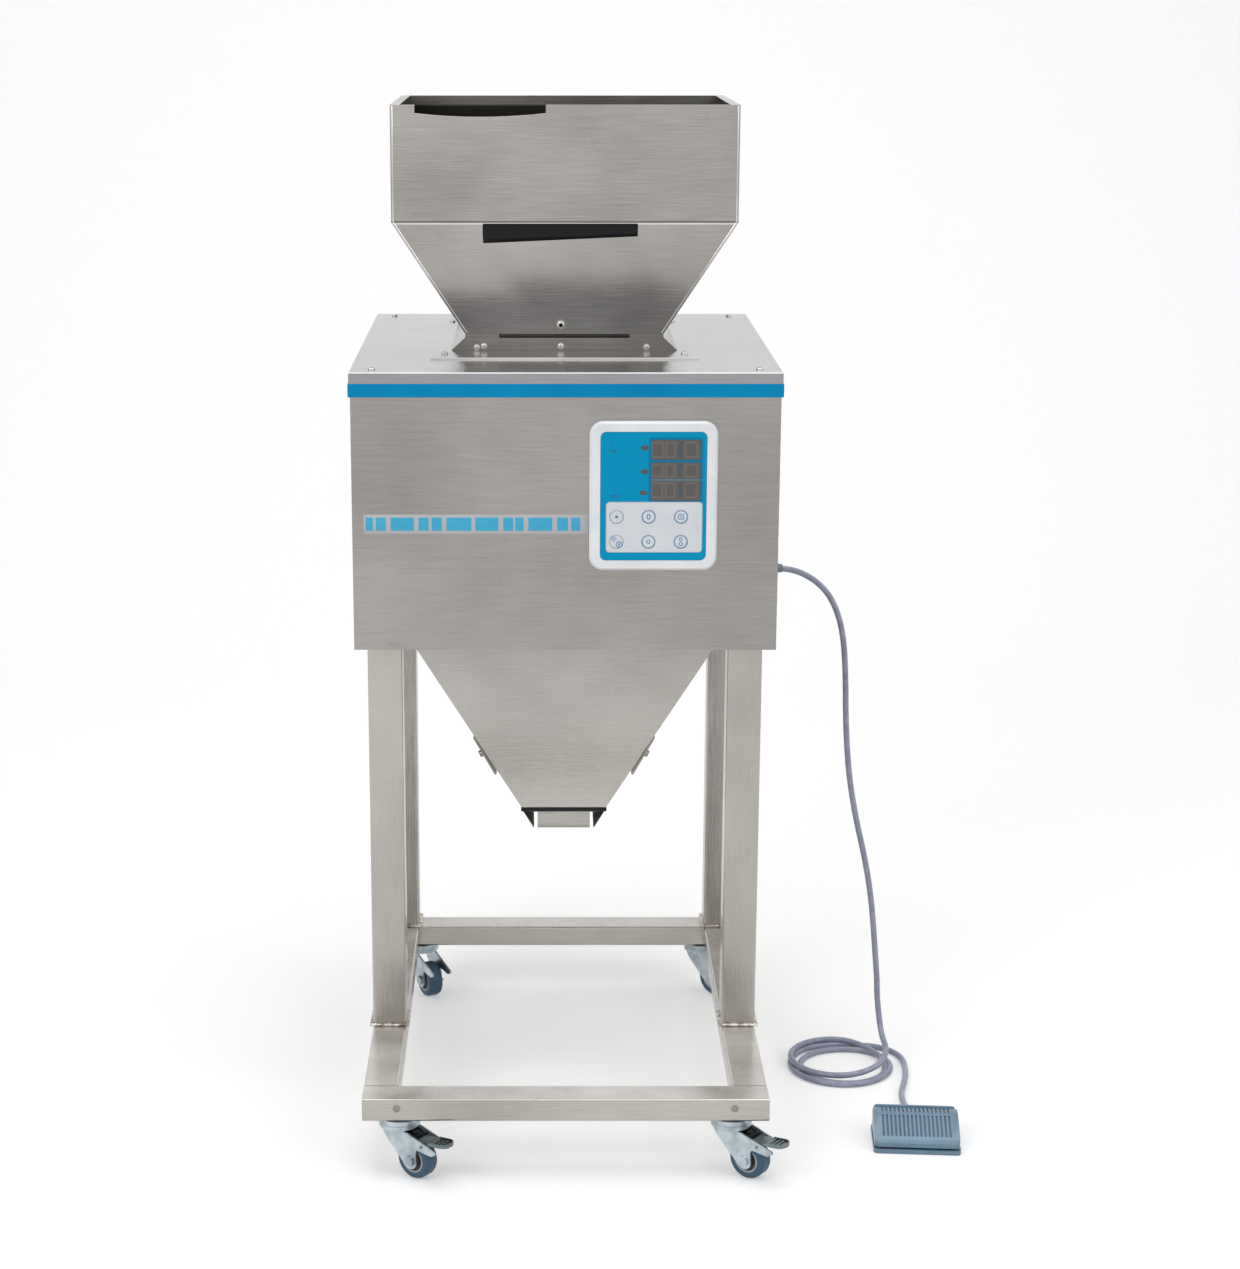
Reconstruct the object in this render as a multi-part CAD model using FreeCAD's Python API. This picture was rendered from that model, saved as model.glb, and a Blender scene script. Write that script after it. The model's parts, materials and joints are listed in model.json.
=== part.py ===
# Powder dosing machine on a castered stand, with a cabled foot switch.
# Millimetres. X to the right, Y to the back, Z up. The origin is on the floor,
# midway between the four caster swivel axes.
import FreeCAD, Part
import math
import os
from FreeCAD import Vector

os.makedirs("parts", exist_ok=True)

# Driving dimensions: stand
BASE_W = 434.0
BASE_D = 564.0
RAIL_W = 38.0
RAIL_H = 25.0
LEG = 38.0
TUBE_WALL = 1.5
TUBE_EDGE = 2.5
FRONT_LEG_SET = 204.0
CAP = 2.0

# Driving dimensions: casters
CASTER_H = 64.0
CASTER_INSET_X = 39.0
CASTER_INSET_Y = 19.0
WHEEL_D = 43.0
WHEEL_W = 18.0
TYRE_SHOULDER = 3.5
HUB_D = 28.0
HUB_DISH = 2.5
TRAIL = 25.0
AXLE_D = 8.0
STEM_D = 10.0
STEM_L = 18.0
RACE_D = 44.0
RACE_H = 5.0
RACE_GAP = 0.3
CROWN_H = 4.7
KING_D = 8.0
KING_HEAD_D = 13.0
KING_HEAD_H = 3.0
FORK_T = 2.0
FORK_INNER = 22.0
CROWN_T = 2.2
BRAKE_L = 72.0
BRAKE_W = 20.0
BRAKE_T = 2.0
BRAKE_PIN_D = 3.0
BRAKE_SET = 16.0
BRAKE_RISE = 20.5
CASTER_TURN = {"front_left": -38.0, "front_right": -38.0, "rear_left": -62.0, "rear_right": -42.0}

# Driving dimensions: cabinet
CAB_W = 459.0
CAB_D = 515.0
CAB_Z = 537.0
CAB_TOP = 839.0
CAB_SET = 179.0
SHEET = 1.5
FLOOR_T = 2.0
FLOOR_RIM = 15.0
SHELL_FLANGE = 30.0
LID_SKIRT = 12.0
LID_OPEN_W = 230.0
LID_OPEN_D = 250.0
BAND_H = 14.5
BAND_T = 2.5

# Driving dimensions: hopper, gate, collar and cover plate
HOP_W = 382.0
HOP_D = 265.0
HOP_SET = 140.0
HOP_BOX_H = 127.0
HOP_CONE_H = 126.0
NECK_W = 222.0
NECK_D = 215.0
HOP_T = 1.5
RIM_FOLD = 10.0
NOTCH_X0 = -164.0
NOTCH_X1 = -21.0
NOTCH_DEEP = 13.0
NOTCH_SIDE = 9.0
WINDOW_W = 170.0
WINDOW_H = 19.0
WINDOW_X = -5.0
GATE_SLOT_H = 3.5
GATE_W = 146.0
GATE_T = 2.5
COLLAR_H = 14.0
COLLAR_T = 2.0
COLLAR_OUT = 5.0
GUSSET_W = 15.0
GUSSET_T = 1.5
COLLAR_SCREW_D = 3.0
COLLAR_HEAD_H = 1.8
GATE_SCREW_D = 5.0
GATE_HEAD_H = 3.0
WASHER_T = 0.8
PLATE_W = 296.0
PLATE_D = 350.0
PLATE_T = 2.0
PLATE_SET = 100.0
FEED_W = 150.0
FEED_D = 150.0
TOP_SCREW_D = 4.0
TOP_HEAD_H = 2.2
LID_SCREW_SET = 22.0
PLATE_SCREW_SET = 15.0

# Driving dimensions: control panel
PANEL_X = 94.0
PANEL_Z = 708.0
PANEL_W = 137.0
PANEL_H = 162.0
PANEL_OUT = 7.0
PANEL_R = 15.0
FACE_W = 114.0
FACE_H = 140.0
FACE_R = 6.5
FACE_T = 1.5
FACE_POCKET = 1.6
SPIGOT = 7.0
KEY_D = 14.8
KEY_STEM_D = 5.0
KEY_TRAVEL = 0.5
KEY_COLUMNS = (-39.3, -4.9, 29.8)
KEY_ROWS = (-22.1, -49.4)
DISPLAY_X0 = -3.0
DISPLAY_X1 = 50.3
DISPLAY_ROWS = ((39.5, 61.3), (-4.6, 37.0))
BOARD_T = 1.6
DISPLAY_DEEP = 8.0
RELAY_H = 20.0
RELAY_DEEP = 14.0

# Driving dimensions: feeder, scale and bucket inside the cabinet
TRAY_W = 156.0
TRAY_Y0 = 30.0
TRAY_Y1 = 270.0
TRAY_Z = 788.0
TRAY_H = 42.0
TRAY_T = 2.0
BEAM_W = 60.0
BEAM_H = 10.0
BEAM_SET = 40.0
BLOCK_W = 130.0
BLOCK_Y0 = 245.0
BLOCK_Y1 = 345.0
BLOCK_Z0 = 560.0
BLOCK_H = 80.0
FOOT_D = 24.0
FOOT_SET = 18.0
MAGNET_SET = 27.0
MAGNET_H = 90.0
MAGNET_GAP = 1.5
POLE_H = 40.0
SPRING_T = 1.5
SPRING_W = 80.0
SPRING_GRIP = 40.0
CELL_W = 30.0
CELL_H = 30.0
CELL_Y0 = 85.0
CELL_Y1 = 230.0
CELL_Z = 650.0
CELL_BORE_D = 21.6
CELL_BORE_SET = 13.0
STAND_Y0 = 200.0
STAND_T = 3.0
BUCKET_W = 120.0
BUCKET_Y0 = -30.0
BUCKET_Y1 = 70.0
BUCKET_Z = 600.0
BUCKET_H = 90.0
BUCKET_T = 1.5
HANGER_T = 4.0
DOOR_PIN_D = 6.0
MOTOR_D = 34.0
MOTOR_L = 42.0

# Driving dimensions: rear cover's vents and mains inlet
VENT_X = (-110.0, 20.0)
VENT_Z = 668.0
VENT_W = 70.0
VENT_H = 4.0
VENT_PITCH = 12.0
VENT_ROWS = 8
INLET_X = 150.0
INLET_Z = 600.0
INLET_W = 48.0
INLET_H = 62.0
ROCKER_TILT = 8.0

# Driving dimensions: funnel and chute
FUNNEL_W0 = 335.0
FUNNEL_Y0 = -73.0
FUNNEL_Y1 = 197.0
FUNNEL_W1 = 96.0
FUNNEL_OUT_Y0 = -3.0
FUNNEL_OUT_Y1 = 87.0
FUNNEL_H = 212.0
FUNNEL_T = 1.5
FUNNEL_RIM = 10.0
SIDE_PLATE_Z = 68.0
SIDE_PLATE_W = 40.0
SIDE_PLATE_L = 50.0
SIDE_PLATE_T = 2.5
SIDE_KNOB_D = 8.0
SEAL_H = 4.0
CHUTE_H = 20.0
CHUTE_T = 1.5
CHUTE_PLATE_W = 60.0
CHUTE_BOTTOM_W = 70.0

# Driving dimensions: foot switch and its cord
PEDAL_W = 95.0
PEDAL_D = 66.0
PEDAL_X = 387.0
PEDAL_Y = -194.0
PEDAL_TURN = -4.0
PEDAL_BASE_H = 5.0
PEDAL_SEAM = 2.5
PEDAL_FRONT_H = 16.0
PEDAL_BACK_H = 30.0
PEDAL_WALL = 2.0
PEDAL_PIN_D = 4.0
PEDAL_TRAVEL = 2.1
GROOVES = 17
CORD_D = 7.0
COIL_X = 327.0
COIL_Y = 11.0
COIL_OUT_D = 126.0
COIL_BAND = 18.0
COIL_H = 20.0
GLAND_Y = 97.0
GLAND_Z = 584.0
GLAND_L = 24.0

# Clearances
RUN = 0.05
FREE = 0.3
SLIDE = 0.5

# Derived places
HALF_W = BASE_W / 2
BASE_Y = BASE_D / 2
RAIL_TOP = CASTER_H + RAIL_H
CAB_X = CAB_W / 2
CAB_FRONT = -BASE_Y + CAB_SET
CAB_BACK = CAB_FRONT + CAB_D
LID_TOP = CAB_TOP + SHEET
PLATE_TOP = LID_TOP + PLATE_T
PLATE_Y0 = CAB_FRONT + PLATE_SET
COLLAR_TOP = PLATE_TOP + COLLAR_H
NECK_Z = COLLAR_TOP + GATE_SLOT_H
FOLD_Z = NECK_Z + HOP_CONE_H
RIM_Z = FOLD_Z + HOP_BOX_H
HOP_X = HOP_W / 2
HOP_Y0 = CAB_FRONT + HOP_SET
HOP_Y1 = HOP_Y0 + HOP_D
HOP_MID = (HOP_Y0 + HOP_Y1) / 2
NECK_X = NECK_W / 2
NECK_Y0 = HOP_MID - NECK_D / 2
NECK_Y1 = HOP_MID + NECK_D / 2
CASTER_X = HALF_W - CASTER_INSET_X
CASTER_Y = BASE_Y - CASTER_INSET_Y
AXLE_Z = WHEEL_D / 2
FUNNEL_Z = CAB_Z - FUNNEL_H
SEAL_Z = FUNNEL_Z - SEAL_H
CHUTE_Z = SEAL_Z - CHUTE_H


def place(axis, a, b, c):
    """A point from two coordinates in a plane and its height c along the axis."""
    if axis == "x":
        return Vector(c, a, b)
    if axis == "y":
        return Vector(a, c, b)
    return Vector(a, b, c)


def box(x0, x1, y0, y1, z0, z1):
    return Part.makeBox(x1 - x0, y1 - y0, z1 - z0, Vector(x0, y0, z0))


def prism(axis, points, c0, c1):
    """A closed outline of (a, b) points pushed from c0 to c1 along the axis."""
    corners = [place(axis, a, b, c0) for a, b in points]
    face = Part.Face(Part.makePolygon(corners + corners[:1]))
    return face.extrude(place(axis, 0, 0, c1 - c0))


def rounded(axis, a0, a1, b0, b1, c0, c1, r):
    """A block with the four edges along the axis rounded."""
    arcs = []
    for ca, cb, turn in ((a1 - r, b1 - r, 0), (a0 + r, b1 - r, 90),
                         (a0 + r, b0 + r, 180), (a1 - r, b0 + r, 270)):
        on_arc = []
        for step in (0, 45, 90):
            t = math.radians(turn + step)
            on_arc.append(place(axis, ca + r * math.cos(t), cb + r * math.sin(t), c0))
        arcs.append(on_arc)
    edges = []
    for i, on_arc in enumerate(arcs):
        edges.append(Part.Arc(*on_arc).toShape())
        edges.append(Part.LineSegment(on_arc[2], arcs[(i + 1) % 4][0]).toShape())
    return Part.Face(Part.Wire(edges)).extrude(place(axis, 0, 0, c1 - c0))


def rod(axis, a, b, c0, c1, r):
    return Part.makeCylinder(r, c1 - c0, place(axis, a, b, c0), place(axis, 0, 0, 1))


def cone(axis, a, b, c0, c1, r0, r1):
    """A tapered rod with radius r0 at c0 and r1 at c1; c1 may be the lower end."""
    way = 1 if c1 > c0 else -1
    return Part.makeCone(r0, r1, abs(c1 - c0), place(axis, a, b, c0), place(axis, 0, 0, way))


def frustum(x0, y0a, y0b, z0, x1, y1a, y1b, z1):
    """A closed pyramid stump between two centred rectangles."""
    low, high = [[Vector(-x, ya, z), Vector(x, ya, z), Vector(x, yb, z), Vector(-x, yb, z)]
                 for x, ya, yb, z in ((x0, y0a, y0b, z0), (x1, y1a, y1b, z1))]
    rings = [low[::-1], high] + [[low[i - 1], low[i], high[i], high[i - 1]] for i in range(4)]
    faces = [Part.Face(Part.makePolygon(ring + ring[:1])) for ring in rings]
    return Part.makeSolid(Part.makeShell(faces))


def joined(shapes):
    """Several shapes fused into one clean solid."""
    whole = shapes[0]
    for shape in shapes[1:]:
        whole = whole.fuse(shape)
    return whole.removeSplitter()


def less(shape, tools):
    for tool in tools:
        shape = shape.cut(tool)
    return shape


def tube(axis, a0, a1, b0, b1, c0, c1):
    """A rectangular welded tube with soft outer edges and square inner ones."""
    outer = rounded(axis, a0, a1, b0, b1, c0, c1, TUBE_EDGE)
    hollow = prism(axis, [(a0 + TUBE_WALL, b0 + TUBE_WALL), (a1 - TUBE_WALL, b0 + TUBE_WALL),
                          (a1 - TUBE_WALL, b1 - TUBE_WALL), (a0 + TUBE_WALL, b1 - TUBE_WALL)],
                   c0, c1)
    return outer.cut(hollow)


def screw(axis, a, b, c, way, head_r, head_h, shank_r, shank_l):
    """A pan head on the face at c that stands out along way, with its shank behind."""
    tip = c - way * shank_l
    top = c + way * head_h
    shank = rod(axis, a, b, min(c, tip), max(c, tip), shank_r)
    crown = cone(axis, a, b, c, top, head_r, head_r * 0.72)
    return joined([crown, shank])


def hexagon(a, b, r):
    """Corners of a six-sided outline about (a, b)."""
    return [(a + r * math.cos(math.radians(60 * i)), b + r * math.sin(math.radians(60 * i)))
            for i in range(6)]


def turned(shape, degrees, x, y):
    """A shape modelled round the Z axis, turned and set down at x, y."""
    shape = shape.copy()
    shape.rotate(Vector(0, 0, 0), Vector(0, 0, 1), degrees)
    shape.translate(Vector(x, y, 0))
    return shape


NODES = {}


def keep(name, shapes):
    """Records one named piece, or a group of like pieces, for its file."""
    group = shapes if isinstance(shapes, list) else [shapes]
    solids = [solid for shape in group for solid in shape.Solids]
    NODES[name] = solids[0] if len(solids) == 1 else Part.makeCompound(solids)


# Stand: four base tubes, four legs

def caster_places():
    return {"front_left": (-CASTER_X, -CASTER_Y), "front_right": (CASTER_X, -CASTER_Y),
            "rear_left": (-CASTER_X, CASTER_Y), "rear_right": (CASTER_X, CASTER_Y)}


def base_tubes():
    """Front and rear bars with welded end caps, and two side rails between them."""
    pieces = []
    for y0 in (-BASE_Y, BASE_Y - RAIL_W):
        bar = tube("x", y0, y0 + RAIL_W, CASTER_H, RAIL_TOP, -HALF_W + CAP, HALF_W - CAP)
        ends = [rounded("x", y0, y0 + RAIL_W, CASTER_H, RAIL_TOP, x, x + CAP, TUBE_EDGE)
                for x in (-HALF_W, HALF_W - CAP)]
        bar = joined([bar] + ends)
        for x, y in caster_places().values():
            if y0 < y < y0 + RAIL_W:
                bar = bar.cut(rod("z", x, y, CASTER_H - 1, CASTER_H + TUBE_WALL + 1,
                                  STEM_D / 2 + FREE))
        pieces.append(bar)
    for x0 in (-HALF_W, HALF_W - RAIL_W):
        pieces.append(tube("y", x0, x0 + RAIL_W, CASTER_H, RAIL_TOP,
                           -BASE_Y + RAIL_W, BASE_Y - RAIL_W))
    return pieces


def legs():
    front = -BASE_Y + FRONT_LEG_SET
    pieces = []
    for x0 in (-HALF_W, HALF_W - LEG):
        for y0 in (front, BASE_Y - LEG):
            pieces.append(tube("z", x0, x0 + LEG, y0, y0 + LEG, RAIL_TOP, CAB_Z))
    return pieces


# Casters, modelled with the swivel axis on Z and the wheel trailing along +X

def caster_mount():
    """Threaded stem in the tube, the upper raceway under it and the kingpin below."""
    race_low = CASTER_H - RACE_H
    head_top = race_low - RACE_GAP - CROWN_T - RACE_GAP
    race = rod("z", 0, 0, race_low, CASTER_H, RACE_D / 2)
    stem = rod("z", 0, 0, CASTER_H, CASTER_H + STEM_L, STEM_D / 2)
    pin = rod("z", 0, 0, head_top - KING_HEAD_H, race_low, KING_D / 2)
    head = rod("z", 0, 0, head_top - KING_HEAD_H, head_top, KING_HEAD_D / 2)
    return joined([race, stem, pin, head])


def fork_outline(crown_top):
    """Side view of the fork: straight leading edge, axle lobe and the wing over the tyre."""
    lobe = AXLE_D / 2 + 5
    lead = -RACE_D / 2 + 1
    low = crown_top - CROWN_H

    def at(degrees):
        t = math.radians(degrees)
        return Vector(TRAIL + lobe * math.cos(t), 0, AXLE_Z + lobe * math.sin(t))

    wing = [(TRAIL + 8, AXLE_Z + 11), (TRAIL + 9.5, AXLE_Z + 15), (TRAIL + 29, AXLE_Z + 13.4),
            (TRAIL + 34, AXLE_Z + 15.5), (TRAIL + 36, AXLE_Z + 18.6), (TRAIL + 34.5, AXLE_Z + 20),
            (TRAIL - 10.2, low), (TRAIL - 10.2, crown_top), (lead, crown_top), (lead, low)]
    points = [at(-10)] + [Vector(x, 0, z) for x, z in wing] + [at(225)]
    edges = [Part.LineSegment(a, b).toShape() for a, b in zip(points, points[1:])]
    edges.append(Part.Arc(at(225), at(285), at(-10)).toShape())
    return Part.Wire(edges)


def fork_sheet(half, lead, end, low, high):
    """Plan of the fork as a solid U with a half-round front."""
    round_x = lead + half
    nose = Part.Arc(Vector(round_x, half, low), Vector(lead, 0, low), Vector(round_x, -half, low))
    corners = [Vector(round_x, -half, low), Vector(end, -half, low), Vector(end, half, low),
               Vector(round_x, half, low)]
    sides = [Part.LineSegment(a, b).toShape() for a, b in zip(corners, corners[1:])]
    return Part.Face(Part.Wire([nose.toShape()] + sides)).extrude(Vector(0, 0, high - low))


def fork(braked):
    """Pressed fork: a U-shaped sheet cut to its side view under a round crown cup."""
    crown_top = CASTER_H - RACE_H - RACE_GAP
    half = FORK_INNER / 2 + FORK_T
    lead = -RACE_D / 2 + 1
    end = TRAIL + WHEEL_D
    sheet = fork_sheet(half, lead, end, 0, crown_top)
    sheet = sheet.cut(fork_sheet(half - FORK_T, lead + FORK_T, end + 1, -1, crown_top + 1))
    side = Part.Face(fork_outline(crown_top))
    side.translate(Vector(0, -half - 1, 0))
    sheet = sheet.common(side.extrude(Vector(0, 2 * half + 2, 0)))
    crown = rod("z", 0, 0, crown_top - CROWN_T, crown_top, RACE_D / 2)
    cup = rod("z", 0, 0, crown_top - CROWN_H, crown_top, RACE_D / 2)
    cup = cup.cut(rod("z", 0, 0, crown_top - CROWN_H - 1, crown_top + 1, RACE_D / 2 - FORK_T))
    body = joined([sheet, crown, cup])
    hub_hole = rod("y", TRAIL, AXLE_Z, -half - 1, half + 1, AXLE_D / 2)
    king_hole = rod("z", 0, 0, crown_top - CROWN_T - 1, crown_top + 1, KING_D / 2 + RUN)
    body = less(body, [hub_hole, king_hole])
    if braked:
        px, pz = brake_pivot()
        body = body.cut(rod("y", px, pz, -half - 1, half + 1, BRAKE_PIN_D / 2 + RUN))
    bolt = rod("y", TRAIL, AXLE_Z, -half - 1.5, half + 1.5, AXLE_D / 2)
    head = rod("y", TRAIL, AXLE_Z, -half - 3.0, -half, AXLE_D / 2 + 1.6)
    nut = prism("y", hexagon(TRAIL, AXLE_Z, AXLE_D * 0.9), half, half + 3.5)
    return [body, joined([bolt, head, nut])]


def brake_pivot():
    return TRAIL + BRAKE_SET, AXLE_Z + BRAKE_RISE


def brake_pedal():
    """Pressed brake lever between the cheeks: round toe, raised lips, ribs and its pin."""
    px, pz = brake_pivot()
    half = min(BRAKE_W / 2, FORK_INNER / 2 - FREE)
    toe_x = BRAKE_L - half - 4
    heel = px - 9

    def plan(inset):
        w, x0, x1 = half - inset, heel + inset, BRAKE_L - inset
        sides = [Vector(toe_x, -w, 0), Vector(x0, -w, 0), Vector(x0, w, 0), Vector(toe_x, w, 0)]
        edges = [Part.LineSegment(a, b).toShape() for a, b in zip(sides, sides[1:])]
        edges.append(Part.Arc(sides[3], Vector(x1, 0, 0), sides[0]).toShape())
        return Part.Face(Part.Wire(edges)).extrude(Vector(0, 0, CASTER_H))

    def layer(low, high):
        z = pz + BRAKE_PIN_D / 2 + 1
        return prism("y", [(heel, z + low), (px + 10, z + low), (BRAKE_L, z + low + 2),
                           (BRAKE_L, z + high + 2), (px + 10, z + high), (heel, z + high)],
                     -half, half)

    blade = plan(0).common(layer(0, BRAKE_T))
    lips = plan(0).cut(plan(1.6)).common(layer(BRAKE_T, 2 * BRAKE_T))
    lips = lips.common(box(px + 8, BRAKE_L, -half, half, 0, CASTER_H))
    ribs = [plan(2.6).common(layer(BRAKE_T, 1.5 * BRAKE_T)).common(
        box(x, x + 1.6, -half, half, 0, CASTER_H)) for x in (px + 11, px + 16, px + 21)]
    barrel = rod("y", px, pz, -half, half, BRAKE_PIN_D / 2 + 1.5)
    pin = rod("y", px, pz, -FORK_INNER / 2 - FORK_T - 1, FORK_INNER / 2 + FORK_T + 1,
              BRAKE_PIN_D / 2)
    return joined([blade, lips, barrel, pin] + ribs)


def wheel():
    """A tyre with eased shoulders on a dished hub that turns on the axle bolt."""
    tread = WHEEL_D / 2
    half = WHEEL_W / 2
    seat = HUB_D / 2
    soft = TYRE_SHOULDER
    bore = AXLE_D / 2 + RUN
    side = [(-half, seat), (-half, tread - soft), (-half + soft * 0.3, tread - soft * 0.3),
            (-half + soft, tread)]
    tyre = side + [(-y, r) for y, r in side[::-1]]
    face = [(-half - 0.8, bore), (-half - 0.8, bore + 3), (-half + HUB_DISH, bore + 4.5),
            (-half + HUB_DISH, seat - 2.5), (-half, seat - 1.5), (-half, seat)]
    hub = face + [(-y, r) for y, r in face[::-1]]
    return [Part.Face(Part.makePolygon([Vector(TRAIL, y, AXLE_Z + r)
                                        for y, r in ring + ring[:1]])).revolve(
        Vector(TRAIL, 0, AXLE_Z), Vector(0, 1, 0), 360) for ring in (tyre, hub)]


def casters():
    mounts = []
    for name, (x, y) in caster_places().items():
        turn = CASTER_TURN[name]
        braked = name.startswith("front")
        mounts.append(turned(caster_mount(), turn, x, y))
        keep("fork_" + name, [turned(s, turn, x, y) for s in fork(braked)])
        keep("wheel_" + name, [turned(s, turn, x, y) for s in wheel()])
        if braked:
            keep("brake_pedal_" + name, turned(brake_pedal(), turn, x, y))
    keep("caster_mounts", mounts)


# Cabinet

def panel_cutout():
    """The opening in the front sheet that the panel housing's spigot fills."""
    return (PANEL_X - FACE_W / 2 + 4, PANEL_X + FACE_W / 2 - 4,
            PANEL_Z - FACE_H / 2 + 4, PANEL_Z + FACE_H / 2 - 4)


def lid_screw_places():
    return [(x, y) for x in (-CAB_X + LID_SCREW_SET, CAB_X - LID_SCREW_SET)
            for y in (CAB_FRONT + LID_SCREW_SET, CAB_BACK - LID_SCREW_SET)]


def plate_screw_places():
    x = PLATE_W / 2 - PLATE_SCREW_SET
    inset = 2 * PLATE_SCREW_SET
    return [(way * x, y) for way in (-1, 1)
            for y in (PLATE_Y0 + inset, PLATE_Y0 + PLATE_D - inset)]


def cabinet_shell():
    """Front and both sides from one folded sheet, with an inward flange at the top."""
    outer = box(-CAB_X, CAB_X, CAB_FRONT, CAB_BACK, CAB_Z, CAB_TOP)
    inner = box(-CAB_X + SHEET, CAB_X - SHEET, CAB_FRONT + SHEET, CAB_BACK + 1,
                CAB_Z - 1, CAB_TOP - SHEET)
    mouth = box(-CAB_X + SHELL_FLANGE, CAB_X - SHELL_FLANGE, CAB_FRONT + SHELL_FLANGE,
                CAB_BACK + 1, CAB_TOP - 2 * SHEET, CAB_TOP + 1)
    shell = less(outer, [inner, mouth])
    x0, x1, z0, z1 = panel_cutout()
    cuts = [rounded("y", x0 - FREE, x1 + FREE, z0 - FREE, z1 + FREE,
                    CAB_FRONT - 1, CAB_FRONT + SHEET + 1, FACE_R)]
    cuts.append(rod("x", GLAND_Y, GLAND_Z, CAB_X - SHEET - 1, CAB_X + 1, CORD_D / 2 + 2))
    cuts += [rod("z", x, y, CAB_TOP - 2 * SHEET, CAB_TOP + 1, TOP_SCREW_D / 2 + FREE)
             for x, y in lid_screw_places()]
    return less(shell, cuts)


def cabinet_floor():
    """Bottom sheet with an upturned rim, open over the funnel."""
    x = CAB_X - SHEET
    y0 = CAB_FRONT + SHEET
    y1 = CAB_BACK - SHEET
    tray = box(-x, x, y0, y1, CAB_Z, CAB_Z + FLOOR_RIM)
    tray = tray.cut(box(-x + SHEET, x - SHEET, y0 + SHEET, y1 - SHEET,
                        CAB_Z + FLOOR_T, CAB_Z + FLOOR_RIM + 1))
    return tray.cut(box(-FUNNEL_W0 / 2 + FUNNEL_T, FUNNEL_W0 / 2 - FUNNEL_T,
                        FUNNEL_Y0 + FUNNEL_T, FUNNEL_Y1 - FUNNEL_T, CAB_Z - 1, CAB_Z + FLOOR_T + 1))


def rear_cover():
    """Screwed back sheet with two columns of vent slots and the inlet's opening."""
    x = CAB_X - SHEET - FREE
    sheet = box(-x, x, CAB_BACK - SHEET, CAB_BACK, CAB_Z, CAB_TOP - SHEET - FREE)
    cuts = []
    for x0 in (cx - VENT_W / 2 for cx in VENT_X):
        for row in range(VENT_ROWS):
            z = VENT_Z + row * VENT_PITCH
            cuts.append(box(x0, x0 + VENT_W, CAB_BACK - SHEET - 1, CAB_BACK + 1, z, z + VENT_H))
    cuts.append(box(INLET_X - INLET_W / 2 + 6, INLET_X + INLET_W / 2 - 6,
                    CAB_BACK - SHEET - 1, CAB_BACK + 1,
                    INLET_Z - INLET_H / 2 + 4, INLET_Z + INLET_H / 2 - 4))
    return less(sheet, cuts)


def cabinet_lid():
    """Pressed lid with a short skirt all round, open under the cover plate."""
    x = CAB_X + SHEET
    y0 = CAB_FRONT - SHEET
    y1 = CAB_BACK + SHEET
    pan = box(-x, x, y0, y1, LID_TOP - LID_SKIRT, LID_TOP)
    rim = [e for e in pan.Edges if e.BoundBox.ZMin > LID_TOP - 0.01]
    pan = pan.makeChamfer(SHEET * 0.6, rim)
    pan = pan.cut(box(-CAB_X, CAB_X, CAB_FRONT, CAB_BACK, LID_TOP - LID_SKIRT - 1, CAB_TOP))
    pan = pan.cut(box(-LID_OPEN_W / 2, LID_OPEN_W / 2, HOP_MID - LID_OPEN_D / 2,
                      HOP_MID + LID_OPEN_D / 2, CAB_TOP - 1, LID_TOP + 1))
    holes = [rod("z", a, b, CAB_TOP - 1, LID_TOP + 1, TOP_SCREW_D / 2 + FREE)
             for a, b in lid_screw_places() + plate_screw_places()]
    return less(pan, holes)


def blue_band():
    """Enamelled trim strip round the front and both sides under the lid."""
    z1 = LID_TOP - LID_SKIRT
    z0 = z1 - BAND_H
    outer = box(-CAB_X - BAND_T, CAB_X + BAND_T, CAB_FRONT - BAND_T, CAB_BACK, z0, z1)
    upright = [e for e in outer.Edges if abs(e.BoundBox.ZLength - BAND_H) < 0.01
               and e.BoundBox.YMax < CAB_FRONT]
    outer = outer.makeFillet(BAND_T * 0.8, upright)
    return outer.cut(box(-CAB_X, CAB_X, CAB_FRONT, CAB_BACK + 1, z0 - 1, z1 + 1))


# Hopper: four folded plates welded along their corners

def hopper_outer():
    upper = box(-HOP_X, HOP_X, HOP_Y0, HOP_Y1, FOLD_Z, RIM_Z)
    lower = frustum(HOP_X, HOP_Y0, HOP_Y1, FOLD_Z, NECK_X, NECK_Y0, NECK_Y1, NECK_Z)
    return upper.fuse(lower)


def folded_band(rim, neck, inward):
    """Side view of one folded plate: upright to the fold, then sloping to the neck."""
    t = inward * HOP_T
    return [(rim, RIM_Z), (rim, FOLD_Z), (neck, NECK_Z), (neck + t, NECK_Z),
            (rim + t, FOLD_Z), (rim + t, RIM_Z)]


def window_frame():
    """Corner, across, down-slope and inward directions of the front slope."""
    down = Vector(0, NECK_Y0 - HOP_Y0, NECK_Z - FOLD_Z)
    down.normalize()
    inward = Vector(0, -down.z, down.y)
    return Vector(WINDOW_X, HOP_Y0, FOLD_Z), down, inward


def slope_plate(outline, n0, n1):
    """A flat piece on the front slope from (across, down) points between two depths."""
    corner, down, inward = window_frame()
    ring = [corner + Vector(a, 0, 0) + down * d + inward * n0 for a, d in outline]
    face = Part.Face(Part.makePolygon(ring + ring[:1]))
    return face.extrude(inward * (n1 - n0))


def window_outline(grow):
    """Trapezoid just under the fold, a little deeper at its left end."""
    half = WINDOW_W / 2 + grow
    top = 3.0 - grow
    return [(-half, top), (half, top), (half, WINDOW_H - 4 + grow), (-half, WINDOW_H + grow)]


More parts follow.
